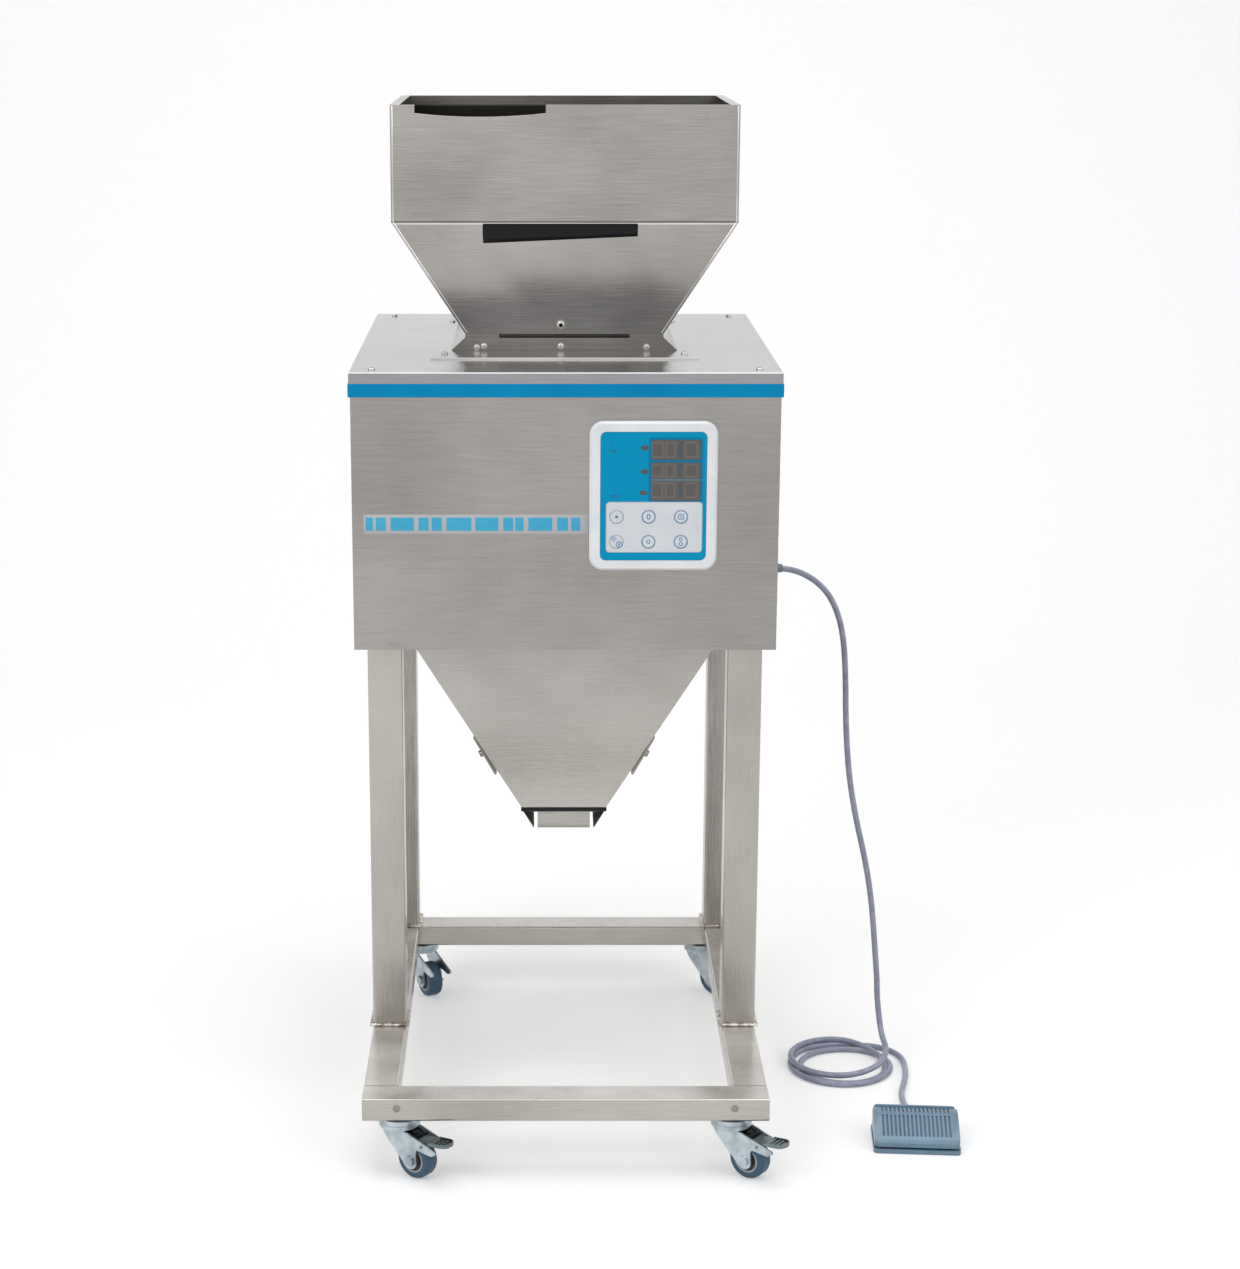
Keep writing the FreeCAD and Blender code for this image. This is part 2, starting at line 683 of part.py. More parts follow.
def hopper_front():
    """Front plate with the low hand notch in its rim and the sight window's opening."""
    band = prism("x", folded_band(HOP_Y0, NECK_Y0, 1), -HOP_X, HOP_X)
    plate = band.common(hopper_outer())
    side_z = RIM_Z - NOTCH_SIDE
    low_x = NOTCH_X0 + 0.45 * (NOTCH_X1 - NOTCH_X0)
    a = Vector(NOTCH_X0, HOP_Y0 - 1, RIM_Z + 1)
    b = Vector(NOTCH_X0, HOP_Y0 - 1, side_z)
    low = Vector(low_x, HOP_Y0 - 1, RIM_Z - NOTCH_DEEP)
    c = Vector(NOTCH_X1, HOP_Y0 - 1, side_z)
    d = Vector(NOTCH_X1, HOP_Y0 - 1, RIM_Z + 1)
    edge = Part.Wire([Part.LineSegment(a, b).toShape(), Part.Arc(b, low, c).toShape(),
                      Part.LineSegment(c, d).toShape(), Part.LineSegment(d, a).toShape()])
    notch = Part.Face(edge).extrude(Vector(0, HOP_T + 2, 0))
    window = slope_plate(window_outline(FREE), -1, HOP_T + 1)
    return less(plate, [notch, window, gate_screw_hole()])


def hopper_rear():
    band = prism("x", folded_band(HOP_Y1, NECK_Y1, -1), -HOP_X, HOP_X)
    return band.common(hopper_outer())


def hopper_sides():
    """Two side plates between the front and rear ones, each with a folded rim flange."""
    outer = hopper_outer()
    ends = [prism("x", folded_band(HOP_Y0, NECK_Y0, 1), -HOP_X, HOP_X),
            prism("x", folded_band(HOP_Y1, NECK_Y1, -1), -HOP_X, HOP_X)]
    plates = []
    for way in (-1, 1):
        band = prism("y", folded_band(way * HOP_X, way * NECK_X, -way), HOP_Y0, HOP_Y1)
        edge = way * HOP_X
        flange = box(min(edge, edge - way * RIM_FOLD), max(edge, edge - way * RIM_FOLD),
                     HOP_Y0, HOP_Y1, RIM_Z - HOP_T, RIM_Z)
        plates.append(less(joined([band.common(outer), flange]), ends))
    return plates


def sight_window():
    """Dark pane flush in the front slope, with a lip against the plate's inner face."""
    pane = slope_plate(window_outline(0), 0, HOP_T + 1.5)
    lip = slope_plate(window_outline(2.0), HOP_T, HOP_T + 1.5)
    return joined([pane, lip])


# Gate, collar and cover plate under the hopper

def gate_frame():
    """Spacer plate of the gate's slot: two side strips and a rear strip."""
    outer = box(-NECK_X, NECK_X, NECK_Y0, NECK_Y1, COLLAR_TOP, NECK_Z)
    return outer.cut(box(-GATE_W / 2, GATE_W / 2, NECK_Y0 - 1, NECK_Y1 - 15,
                         COLLAR_TOP - 1, NECK_Z + 1))


def flow_gate():
    """Flat shut-off plate that draws out to the front through its slot."""
    half = GATE_W / 2 - SLIDE
    z0 = COLLAR_TOP + (GATE_SLOT_H - GATE_T) / 2
    plate = box(-half, half, NECK_Y0 + 1.5, NECK_Y1 - 15 - SLIDE, z0, z0 + GATE_T)
    return plate.cut(rod("z", 0, NECK_Y0 + 14, z0 - 1, z0 + GATE_T + 1, 7))


def feed_collar():
    """Square ring between the gate and the cover plate, one wall all round."""
    x = NECK_X + 0.5
    y0 = NECK_Y0 - COLLAR_OUT
    y1 = NECK_Y1 + COLLAR_OUT
    ring = box(-x, x, y0, y1, PLATE_TOP, COLLAR_TOP)
    ring = ring.cut(box(-x + COLLAR_T, x - COLLAR_T, y0 + COLLAR_T, y1 - COLLAR_T,
                        PLATE_TOP - 1, COLLAR_TOP - COLLAR_T))
    ring = ring.cut(box(-NECK_X + 2 * COLLAR_T, NECK_X - 2 * COLLAR_T, NECK_Y0 + 2 * COLLAR_T,
                        NECK_Y1 - 2 * COLLAR_T, COLLAR_TOP - COLLAR_T - 1, COLLAR_TOP + 1))
    foot = x + GUSSET_W
    gussets = []
    for way in (-1, 1):
        slope = [(way * x, COLLAR_TOP), (way * foot, PLATE_TOP),
                 (way * (foot - 2 * GUSSET_T), PLATE_TOP), (way * x, COLLAR_TOP - GUSSET_T)]
        end = [(way * x, COLLAR_TOP), (way * foot, PLATE_TOP), (way * x, PLATE_TOP)]
        gussets += [prism("y", slope, y0, y1), prism("y", end, y0, y0 + GUSSET_T)]
    holes = [rod("y", a, b, y0 - 1, y0 + COLLAR_T + 1, COLLAR_SCREW_D / 2 + FREE)
             for a, b in collar_screw_places()]
    return less(joined([ring] + gussets), holes)


def collar_screw_places():
    z = PLATE_TOP + COLLAR_H / 2 - 2
    return [(-98.0, z - 1.5), (-90.0, z), (-4.0, z), (92.0, z - 1)]


def gate_screw_place():
    """The gate's clamping screw on the front slope, by distance down from the fold."""
    corner, down, inward = window_frame()
    slope = math.hypot(NECK_Y0 - HOP_Y0, HOP_CONE_H)
    return Vector(-4, HOP_Y0, FOLD_Z) + down * (slope - 11.5), inward


def gate_screw_hole():
    point, inward = gate_screw_place()
    return Part.makeCylinder(GATE_SCREW_D / 2 + FREE, HOP_T + 4, point - inward * 2, inward)


def front_screws():
    """Screws of the collar and the gate's clamping screw with its washer."""
    y0 = NECK_Y0 - COLLAR_OUT
    r = COLLAR_SCREW_D / 2
    pieces = [screw("y", x, z, y0, -1, 2 * r, COLLAR_HEAD_H, r, COLLAR_T + r)
              for x, z in collar_screw_places()]
    point, inward = gate_screw_place()
    seat = point - inward * WASHER_T
    washer = Part.makeCylinder(GATE_SCREW_D, WASHER_T, seat, inward)
    head = Part.makeCylinder(GATE_SCREW_D * 0.76, GATE_HEAD_H, seat - inward * GATE_HEAD_H, inward)
    shank = Part.makeCylinder(GATE_SCREW_D / 2, HOP_T + GATE_HEAD_H, seat, inward)
    pieces.append(joined([washer, head, shank]))
    return pieces


def cover_plate():
    """Flat plate that closes the lid round the collar and leaves the feed opening."""
    plate = box(-PLATE_W / 2, PLATE_W / 2, PLATE_Y0, PLATE_Y0 + PLATE_D, LID_TOP, PLATE_TOP)
    plate = plate.cut(box(-FEED_W / 2, FEED_W / 2, HOP_MID - FEED_D / 2, HOP_MID + FEED_D / 2,
                          LID_TOP - 1, PLATE_TOP + 1))
    return less(plate, [rod("z", a, b, LID_TOP - 1, PLATE_TOP + 1, TOP_SCREW_D / 2 + FREE)
                        for a, b in plate_screw_places()])


def top_screws():
    r = TOP_SCREW_D / 2
    pieces = [screw("z", a, b, LID_TOP, 1, 1.8 * r, TOP_HEAD_H, r, SHEET + 2 * r)
              for a, b in lid_screw_places()]
    pieces += [screw("z", a, b, PLATE_TOP, 1, 1.8 * r, TOP_HEAD_H, r, PLATE_T + SHEET + 2 * r)
               for a, b in plate_screw_places()]
    return pieces


# Control panel

def key_places():
    return [(PANEL_X + x, PANEL_Z + z) for z in KEY_ROWS for x in KEY_COLUMNS]


def display_boxes():
    return [(PANEL_X + DISPLAY_X0, PANEL_X + DISPLAY_X1, PANEL_Z + z0, PANEL_Z + z1)
            for z0, z1 in DISPLAY_ROWS]


def panel_bezel():
    """Moulded housing with a shallow pocket for the face and a spigot through the sheet."""
    front = CAB_FRONT - PANEL_OUT
    block = rounded("y", PANEL_X - PANEL_W / 2, PANEL_X + PANEL_W / 2,
                    PANEL_Z - PANEL_H / 2, PANEL_Z + PANEL_H / 2, front, CAB_FRONT, PANEL_R)
    rim = [e for e in block.Edges if e.BoundBox.YMax < front + 0.01]
    block = block.makeChamfer(PANEL_OUT * 0.35, rim)
    pocket = rounded("y", PANEL_X - FACE_W / 2, PANEL_X + FACE_W / 2, PANEL_Z - FACE_H / 2,
                     PANEL_Z + FACE_H / 2, front - 1, front + FACE_POCKET, FACE_R)
    x0, x1, z0, z1 = panel_cutout()
    spigot = rounded("y", x0, x1, z0, z1, CAB_FRONT, CAB_FRONT + SPIGOT, FACE_R - FREE)
    spigot = spigot.cut(box(x0 + 3, x1 - 3, CAB_FRONT - 1, CAB_FRONT + SPIGOT + 1, z0 + 3, z1 - 3))
    holes = [rod("y", x, z, front, CAB_FRONT + 1, KEY_STEM_D / 2 + FREE) for x, z in key_places()]
    return less(joined([block.cut(pocket), spigot]), holes)


def panel_overlay():
    """Membrane face in the pocket, open at the displays and the keys."""
    floor = CAB_FRONT - PANEL_OUT + FACE_POCKET
    sheet = rounded("y", PANEL_X - FACE_W / 2 + FREE, PANEL_X + FACE_W / 2 - FREE,
                    PANEL_Z - FACE_H / 2 + FREE, PANEL_Z + FACE_H / 2 - FREE,
                    floor - FACE_T, floor, FACE_R - FREE)
    cuts = [rod("y", x, z, floor - FACE_T - 1, floor + 1, KEY_D / 2 + FREE)
            for x, z in key_places()]
    cuts += [rounded("y", x0, x1, z0, z1, floor - FACE_T - 1, floor + 1, 1.5)
             for x0, x1, z0, z1 in display_boxes()]
    return less(sheet, cuts)


def display_windows():
    floor = CAB_FRONT - PANEL_OUT + FACE_POCKET
    return [rounded("y", x0 + 0.2, x1 - 0.2, z0 + 0.2, z1 - 0.2, floor - FACE_T + 0.3, floor, 1.3)
            for x0, x1, z0, z1 in display_boxes()]


def panel_key(x, z):
    """Domed key with a plunger that reaches the board behind the sheet."""
    floor = CAB_FRONT - PANEL_OUT + FACE_POCKET
    back = floor - KEY_TRAVEL - 0.1
    disc = cone("y", x, z, back, back - 1.1, KEY_D / 2, KEY_D / 2 - 0.5)
    stem = rod("y", x, z, back - 0.5, CAB_FRONT + SPIGOT - KEY_TRAVEL - 0.2, KEY_STEM_D / 2)
    return joined([disc, stem])


def control_board():
    """Board against the spigot's rear face, with three relays and the display block."""
    x0, x1, z0, z1 = panel_cutout()
    y = CAB_FRONT + SPIGOT
    face = y + BOARD_T
    board = box(x0 + 1, x1 - 1, y, face, z0 + 1, z1 - 1)
    pitch = (x1 - x0) / 4
    relay_z = z0 + RELAY_H / 2
    relays = [box(x0 + pitch * (n + 0.2), x0 + pitch * (n + 0.8), face, face + RELAY_DEEP,
                  relay_z, relay_z + RELAY_H) for n in range(3)]
    displays = [box(a0, a1, face, face + DISPLAY_DEEP, b0, b1)
                for a0, a1, b0, b1 in display_boxes()]
    return joined([board] + displays + relays)


# Feeder, scale and bucket

def feeder_tray():
    """Vibrating trough, open at its front lip, on the beam that the springs carry."""
    half = TRAY_W / 2
    outer = box(-half, half, TRAY_Y0, TRAY_Y1, TRAY_Z, TRAY_Z + TRAY_H)
    trough = outer.cut(box(-half + TRAY_T, half - TRAY_T, TRAY_Y0 - 1, TRAY_Y1 - TRAY_T,
                           TRAY_Z + TRAY_T, TRAY_Z + TRAY_H + 1))
    beam = box(-BEAM_W / 2, BEAM_W / 2, TRAY_Y0 + BEAM_SET, BLOCK_Y1 + 4 * SPRING_T, TRAY_Z - BEAM_H, TRAY_Z)
    gap = magnet_face() - MAGNET_GAP
    half = BEAM_W / 2 - 8
    armature = box(-half, half, gap - 8, gap, BLOCK_Z0 + BLOCK_H + MAGNET_H - POLE_H - 10,
                   TRAY_Z - BEAM_H)
    return joined([trough, beam, armature])


def magnet_face():
    return BLOCK_Y0 + MAGNET_SET


def feeder_base():
    """Heavy steel block with the drive magnet on top, on four rubber feet."""
    half = BLOCK_W / 2
    top = BLOCK_Z0 + BLOCK_H
    block = box(-half, half, BLOCK_Y0, BLOCK_Y1, BLOCK_Z0, top)
    y0 = magnet_face()
    wide = BEAM_W / 2 - 5
    core = box(-wide, wide, y0 + 8, BLOCK_Y1 - MAGNET_SET, top, top + MAGNET_H)
    pole = box(8 - wide, wide - 8, y0, y0 + 8, top + MAGNET_H - POLE_H - 5, top + MAGNET_H - 5)
    feet = [rod("z", x, y, CAB_Z + FLOOR_T, BLOCK_Z0, FOOT_D / 2)
            for x in (FOOT_SET - half, half - FOOT_SET)
            for y in (BLOCK_Y0 + FOOT_SET, BLOCK_Y1 - FOOT_SET)]
    return [joined([block, core, pole])] + feet


def leaf_springs():
    """Upright spring leaves clamped on the block's faces, one in front and one behind."""
    z0 = BLOCK_Z0 + BLOCK_H - SPRING_GRIP
    z1 = TRAY_Z - BEAM_H - FREE
    return [box(-SPRING_W / 2, SPRING_W / 2, y, y + SPRING_T, z0, z1)
            for y in (BLOCK_Y0 - SPRING_T, BLOCK_Y1)]


def load_cell():
    """Single-point bar with the two linked bores that let it bend."""
    half = CELL_W / 2
    bar = box(-half, half, CELL_Y0, CELL_Y1, CELL_Z, CELL_Z + CELL_H)
    mid_y = (CELL_Y0 + CELL_Y1) / 2
    mid_z = CELL_Z + CELL_H / 2
    r, out = CELL_BORE_D / 2, CELL_BORE_SET
    cuts = [rod("x", mid_y - out, mid_z, -half - 1, half + 1, r),
            rod("x", mid_y + out, mid_z, -half - 1, half + 1, r),
            box(-half - 1, half + 1, mid_y - out, mid_y + out, mid_z - 3, mid_z + 3)]
    return less(bar, cuts)


def load_cell_stand():
    """Folded foot that carries the fixed end of the load cell."""
    half = CELL_W / 2 + 10
    post = box(-half, half, STAND_Y0, CELL_Y1 + 5, CAB_Z + FLOOR_T, CELL_Z)
    t = STAND_T
    return post.cut(box(t - half, half - t, STAND_Y0 + t, CELL_Y1 + 6,
                        CAB_Z + FLOOR_T + t, CELL_Z - t))


def door_axis():
    return BUCKET_Y1 + 4.0, BUCKET_Z - 3.0


def weigh_bucket():
    """Open-ended box hung from the load cell, with two ears for the door's pin."""
    half = BUCKET_W / 2
    top = BUCKET_Z + BUCKET_H
    t = BUCKET_T
    shell = box(-half - t, half + t, BUCKET_Y0 - t, BUCKET_Y1 + t, BUCKET_Z, top)
    shell = shell.cut(box(-half, half, BUCKET_Y0, BUCKET_Y1, BUCKET_Z - 1, top + 1))
    y, z = door_axis()
    ears = []
    for x0 in (-half - t, half):
        ear = box(x0, x0 + t, BUCKET_Y1 - 8, y + 9, z - 9, BUCKET_Z + 8)
        ears.append(ear.cut(rod("x", y, z, x0 - 1, x0 + t + 1, DOOR_PIN_D / 2 + RUN)))
    over = CELL_Z + CELL_H
    hanger = box(-CELL_W / 2, CELL_W / 2, BUCKET_Y1, BUCKET_Y1 + HANGER_T, CELL_Z - 20,
                 over + HANGER_T)
    arm = box(-CELL_W / 2, CELL_W / 2, BUCKET_Y1, CELL_Y0 + 35, over, over + HANGER_T)
    body = joined([shell, hanger, arm] + ears)
    return body.cut(box(-half, half, BUCKET_Y0, BUCKET_Y1, BUCKET_Z - 20, top + 1))


def bucket_door():
    """Flap under the bucket, rolled round the hinge pin at its rear edge."""
    half = BUCKET_W / 2 - SLIDE
    y, z = door_axis()
    flap = box(-half, half, BUCKET_Y0 - BUCKET_T, y, BUCKET_Z - SLIDE - BUCKET_T,
               BUCKET_Z - SLIDE)
    roll = rod("x", y, z, -half, half, DOOR_PIN_D / 2 + BUCKET_T)
    roll = roll.common(box(-half, half, y - 10, y + 10, z - 10, BUCKET_Z - SLIDE))
    pin = rod("x", y, z, -BUCKET_W / 2 - 6, BUCKET_W / 2 + 18, DOOR_PIN_D / 2)
    return joined([flap, roll, pin])


def door_motor():
    """Gear motor on the bucket's right side; the door's pin runs in its bore."""
    y, z = door_axis()
    x0 = BUCKET_W / 2 + BUCKET_T
    r = MOTOR_D / 2
    plate = rounded("x", y - r - 5, y + r + 5, z - r - 3, z + r + 9, x0, x0 + 4, 6)
    case = rod("x", y, z, x0 + 4, x0 + 4 + MOTOR_L, r)
    bore = rod("x", y, z, x0 - 1, BUCKET_W / 2 + 19, DOOR_PIN_D / 2 + RUN)
    return joined([plate, case]).cut(bore)


# Funnel, seal and chute under the cabinet

def funnel_bounds(z, inset):
    """Half width and the front and rear edges of the funnel at a height, less an inset."""
    t = (z - FUNNEL_Z) / FUNNEL_H
    return (FUNNEL_W1 / 2 + t * (FUNNEL_W0 - FUNNEL_W1) / 2 - inset,
            FUNNEL_OUT_Y0 + t * (FUNNEL_Y0 - FUNNEL_OUT_Y0) + inset,
            FUNNEL_OUT_Y1 + t * (FUNNEL_Y1 - FUNNEL_OUT_Y1) - inset)


def discharge_funnel():
    """Pyramid of four welded plates, with a rim flange under the cabinet's floor."""
    low, high = FUNNEL_Z, CAB_Z
    outer = frustum(*funnel_bounds(low, 0), low, *funnel_bounds(high, 0), high)
    slant = math.sqrt(1 + ((FUNNEL_W0 - FUNNEL_W1) / 2 / FUNNEL_H) ** 2)
    inset = FUNNEL_T * slant
    inner = frustum(*funnel_bounds(low - 1, inset), low - 1,
                    *funnel_bounds(high + 1, inset), high + 1)
    x, y0, y1 = funnel_bounds(high, 0)
    rim = box(-x - FUNNEL_RIM, x + FUNNEL_RIM, y0 - FUNNEL_RIM, y1 + FUNNEL_RIM,
              high - FUNNEL_T, high)
    return joined([outer, rim]).cut(inner)


def outlet_seal():
    """Black rubber frame between the funnel and the chute."""
    x, y0, y1 = funnel_bounds(FUNNEL_Z, -1.0)
    ring = rounded("z", -x, x, y0, y1, SEAL_Z, FUNNEL_Z, 2.0)
    x, y0, y1 = funnel_bounds(FUNNEL_Z, 3.0)
    return ring.cut(box(-x, x, y0, y1, SEAL_Z - 1, FUNNEL_Z + 1))


def funnel_side_plates():
    """A bolted plate on a gasket on each sloping side, with the knob of its bolt outside."""
    z_mid = FUNNEL_Z + SIDE_PLATE_Z
    slope = math.atan2((FUNNEL_W0 - FUNNEL_W1) / 2, FUNNEL_H)
    low = z_mid - SIDE_PLATE_L / 2 * math.cos(slope)
    y_mid = funnel_bounds(low, FREE)[1] + SIDE_PLATE_W / 2
    w, h, t = SIDE_PLATE_W / 2, SIDE_PLATE_L / 2, SIDE_PLATE_T
    r = SIDE_KNOB_D / 2
    pieces = []
    for way in (-1, 1):
        gasket = box(0, t, 3 - w, w - 3, 3 - h, h - 3)
        plate = box(t, 2 * t, -w, w, -h, h)
        bolt = rod("x", 0, 0, 2 * t, 2 * t + 2, r / 2)
        knob = rod("x", 0, 0, 2 * t + 2, 2 * t + 2 + r, r)
        piece = joined([gasket, plate, bolt, knob])
        piece.rotate(Vector(0, 0, 0), Vector(0, 1, 0), math.degrees(slope))
        if way < 0:
            piece = piece.mirror(Vector(0, 0, 0), Vector(1, 0, 0))
        piece.translate(Vector(way * funnel_bounds(z_mid, 0)[0], y_mid, z_mid))
        pieces.append(piece)
    return pieces


def discharge_chute():
    """Short bag mouth: upright front and rear plates and two slanting side plates."""
    x, y0, y1 = funnel_bounds(FUNNEL_Z, 1.0)
    t = CHUTE_T
    ring = box(-x, x, y0, y1, SEAL_Z - t, SEAL_Z)
    ring = ring.cut(box(-x + 4, x - 4, y0 + 4, y1 - 4, SEAL_Z - t - 1, SEAL_Z + 1))
    plates = [box(-CHUTE_PLATE_W / 2, CHUTE_PLATE_W / 2, y, y + t, CHUTE_Z, SEAL_Z)
              for y in (y0, y1 - t)]
    for way in (-1, 1):
        out, end = way * x, way * (CHUTE_BOTTOM_W / 2)
        wing = [(out, SEAL_Z - t), (out - way * 4, SEAL_Z - t),
                (end - way * t, CHUTE_Z), (end, CHUTE_Z)]
        plates.append(prism("y", wing, y0 + t + 1, y1 - t - 1))
    return joined([ring] + plates)


# Mains inlet at the rear and the foot switch's gland at the side

def power_inlet():
    """Panel inlet with three flat pins in its socket and a well for the rocker."""
    w, h = INLET_W / 2, INLET_H / 2
    y = CAB_BACK
    flange = rounded("y", INLET_X - w, INLET_X + w, INLET_Z - h, INLET_Z + h, y, y + 3, 3)
    case = box(INLET_X - w + 6.5, INLET_X + w - 6.5, y - 28, y, INLET_Z - h + 4.5,
               INLET_Z + h - 4.5)
    socket = rounded("y", INLET_X - 12.5, INLET_X + 12.5, INLET_Z - 23, INLET_Z - 5,
                     y - 14, y + 4, 3)
    well = box(INLET_X - 11.3, INLET_X + 11.3, y - 10, y + 4, INLET_Z + 5.7, INLET_Z + 21.3)
    body = less(joined([flange, case]), [socket, well])
    pins = [box(INLET_X + dx - 1, INLET_X + dx + 1, y - 15, y - 2, INLET_Z - 16 + dz,
                INLET_Z - 12 + dz) for dx, dz in ((-7, 0), (0, 3), (7, 0))]
    return joined([body] + pins)


def rocker_axis():
    return CAB_BACK - 1.0, INLET_Z + 13.5


def power_rocker():
    """Two-position rocker that tips about its middle."""
    y, z = rocker_axis()
    outline = [(y - 6, z - 4), (y + 3.5, z - 7.2), (y + 2.5, z), (y + 3.5, z + 7.2), (y - 6, z + 4)]
    rocker = prism("x", outline, INLET_X - 10.8, INLET_X + 10.8)
    rocker.rotate(Vector(INLET_X, y, z), Vector(1, 0, 0), ROCKER_TILT)
    return rocker


def cable_gland():
    """Hexagonal gland body with a dome nut and a tapered strain relief."""
    bore = CORD_D / 2 + 0.1
    body = prism("x", hexagon(GLAND_Y, GLAND_Z, CORD_D * 1.3), CAB_X, CAB_X + 5)
    neck = rod("x", GLAND_Y, GLAND_Z, CAB_X - SHEET - 6, CAB_X, CORD_D / 2 + 1.7)
    dome = cone("x", GLAND_Y, GLAND_Z, CAB_X + 5, CAB_X + 13, CORD_D * 1.1, CORD_D * 0.9)
    tail = cone("x", GLAND_Y, GLAND_Z, CAB_X + 13, CAB_X + GLAND_L, CORD_D * 0.85,
                CORD_D / 2 + 1.2)
    hole = rod("x", GLAND_Y, GLAND_Z, CAB_X - SHEET - 7, CAB_X + GLAND_L + 1, bore)
    return joined([body, neck, dome, tail]).cut(hole)


# Cord: straight runs joined by tangent arcs, a coil on the floor and a tail

DROP_ROUTE = [(241.5, 97, 584), (262, 97, 584), (288, 96.3, 573), (307, 94.5, 555.5),
              (319, 92, 532), (326, 89, 502), (329, 84.5, 460), (330, 78, 402), (334, 70, 345),
              (343, 64, 292), (355, 58.5, 243), (363.5, 52.5, 193), (368.5, 46, 135),
              (374, 40.5, 83), (376.7, 37, 48), (376.7, 37, COIL_H)]
TAIL_ROUTE = [(346, 67.5, 3.5), (362, 68, 3.5), (379, 62.5, 3.5), (394, 49.5, 3.5),
              (402, 31.5, 3.5), (403, 8, 3.5), (400.5, -18, 3.5), (395, -44, 3.5),
              (388, -70, 3.5), (386.5, -96, 3.6), (388.2, -121, 5.2), (390.4, -146.1, 8.5),
              (388.9, -167.1, 8.5)]


def cord_tube(route, label):
    """A round tube along a route, each corner an arc as large as its two runs allow."""
    points = [Vector(*p) for p in route]
    edges = []
    start = points[0]
    radii = []
    for before, corner, after in zip(points, points[1:], points[2:]):
        run_in, run_out = corner - before, after - corner
        turn = run_in.getAngle(run_out)
        reach = 0.45 * min(run_in.Length, run_out.Length)
        radii.append(reach / math.tan(turn / 2))
        way_in, way_out = run_in.normalize(), run_out.normalize()
        a, b = corner - way_in * reach, corner + way_out * reach
        middle = corner + (way_out - way_in).normalize() * (
            radii[-1] * (1 / math.cos(turn / 2) - 1))
        edges.append(Part.LineSegment(start, a).toShape())
        edges.append(Part.Arc(a, middle, b).toShape())
        start = b
    edges.append(Part.LineSegment(start, points[-1]).toShape())
    spine = Part.Wire(edges)
    circle = Part.Wire(Part.makeCircle(CORD_D / 2, points[0], points[1] - points[0]))
    swept = spine.makePipeShell([circle], True, False)
    section = math.pi * CORD_D ** 2 / 4
    print(label, "smallest radius", round(min(radii), 1), "length", round(spine.Length, 1),
          "volume over section times length", round(swept.Volume / section / spine.Length, 4))
    return swept


def cord_coil():
    """The outer form of three loose turns on the floor."""
    r1 = COIL_OUT_D / 2
    r0 = r1 - COIL_BAND
    edge = CORD_D / 2
    outline = [(r0, edge), (r0 + edge, 0), (r1 - edge, 0), (r1, edge), (r1, COIL_H - edge),
               (r1 - edge, COIL_H), (r0 + edge, COIL_H), (r0, COIL_H - edge)]
    ring = [Vector(COIL_X + a, COIL_Y, b) for a, b in outline]
    face = Part.Face(Part.makePolygon(ring + ring[:1]))
    return face.revolve(Vector(COIL_X, COIL_Y, 0), Vector(0, 0, 1), 360)


# Foot switch, modelled about its own centre with its front along -Y

def pedal_axis():
    return PEDAL_D / 2 - 8.0, PEDAL_BASE_H + PEDAL_SEAM + 5.0


def pedal_base():
    """Slim floor plate with a rear wall for the cord and two lugs for the hinge pin."""
    w, d = PEDAL_W / 2, PEDAL_D / 2
    plate = rounded("z", -w, w, -d, d, 0, PEDAL_BASE_H, 5)
    y, z = pedal_axis()
    lugs = [prism("x", [(y - 6, PEDAL_BASE_H), (y + 5, PEDAL_BASE_H), (y + 4, z + 4),
                        (y - 4, z + 4)], x, x + 4)
            for x in (-w + PEDAL_WALL + 1 + FREE, w - PEDAL_WALL - 5 - FREE)]
    entry = rounded("y", -9, 9, PEDAL_BASE_H, 14, d - 6, d, 3)
    plate = joined([plate, entry] + lugs)
    pin_hole = rod("x", y, z, -w - 1, w + 1, PEDAL_PIN_D / 2)
    cord_hole = rod("y", 0, 8.5, d - 7, d + 1, CORD_D / 2 + 0.1)
    return less(plate, [pin_hole, cord_hole])


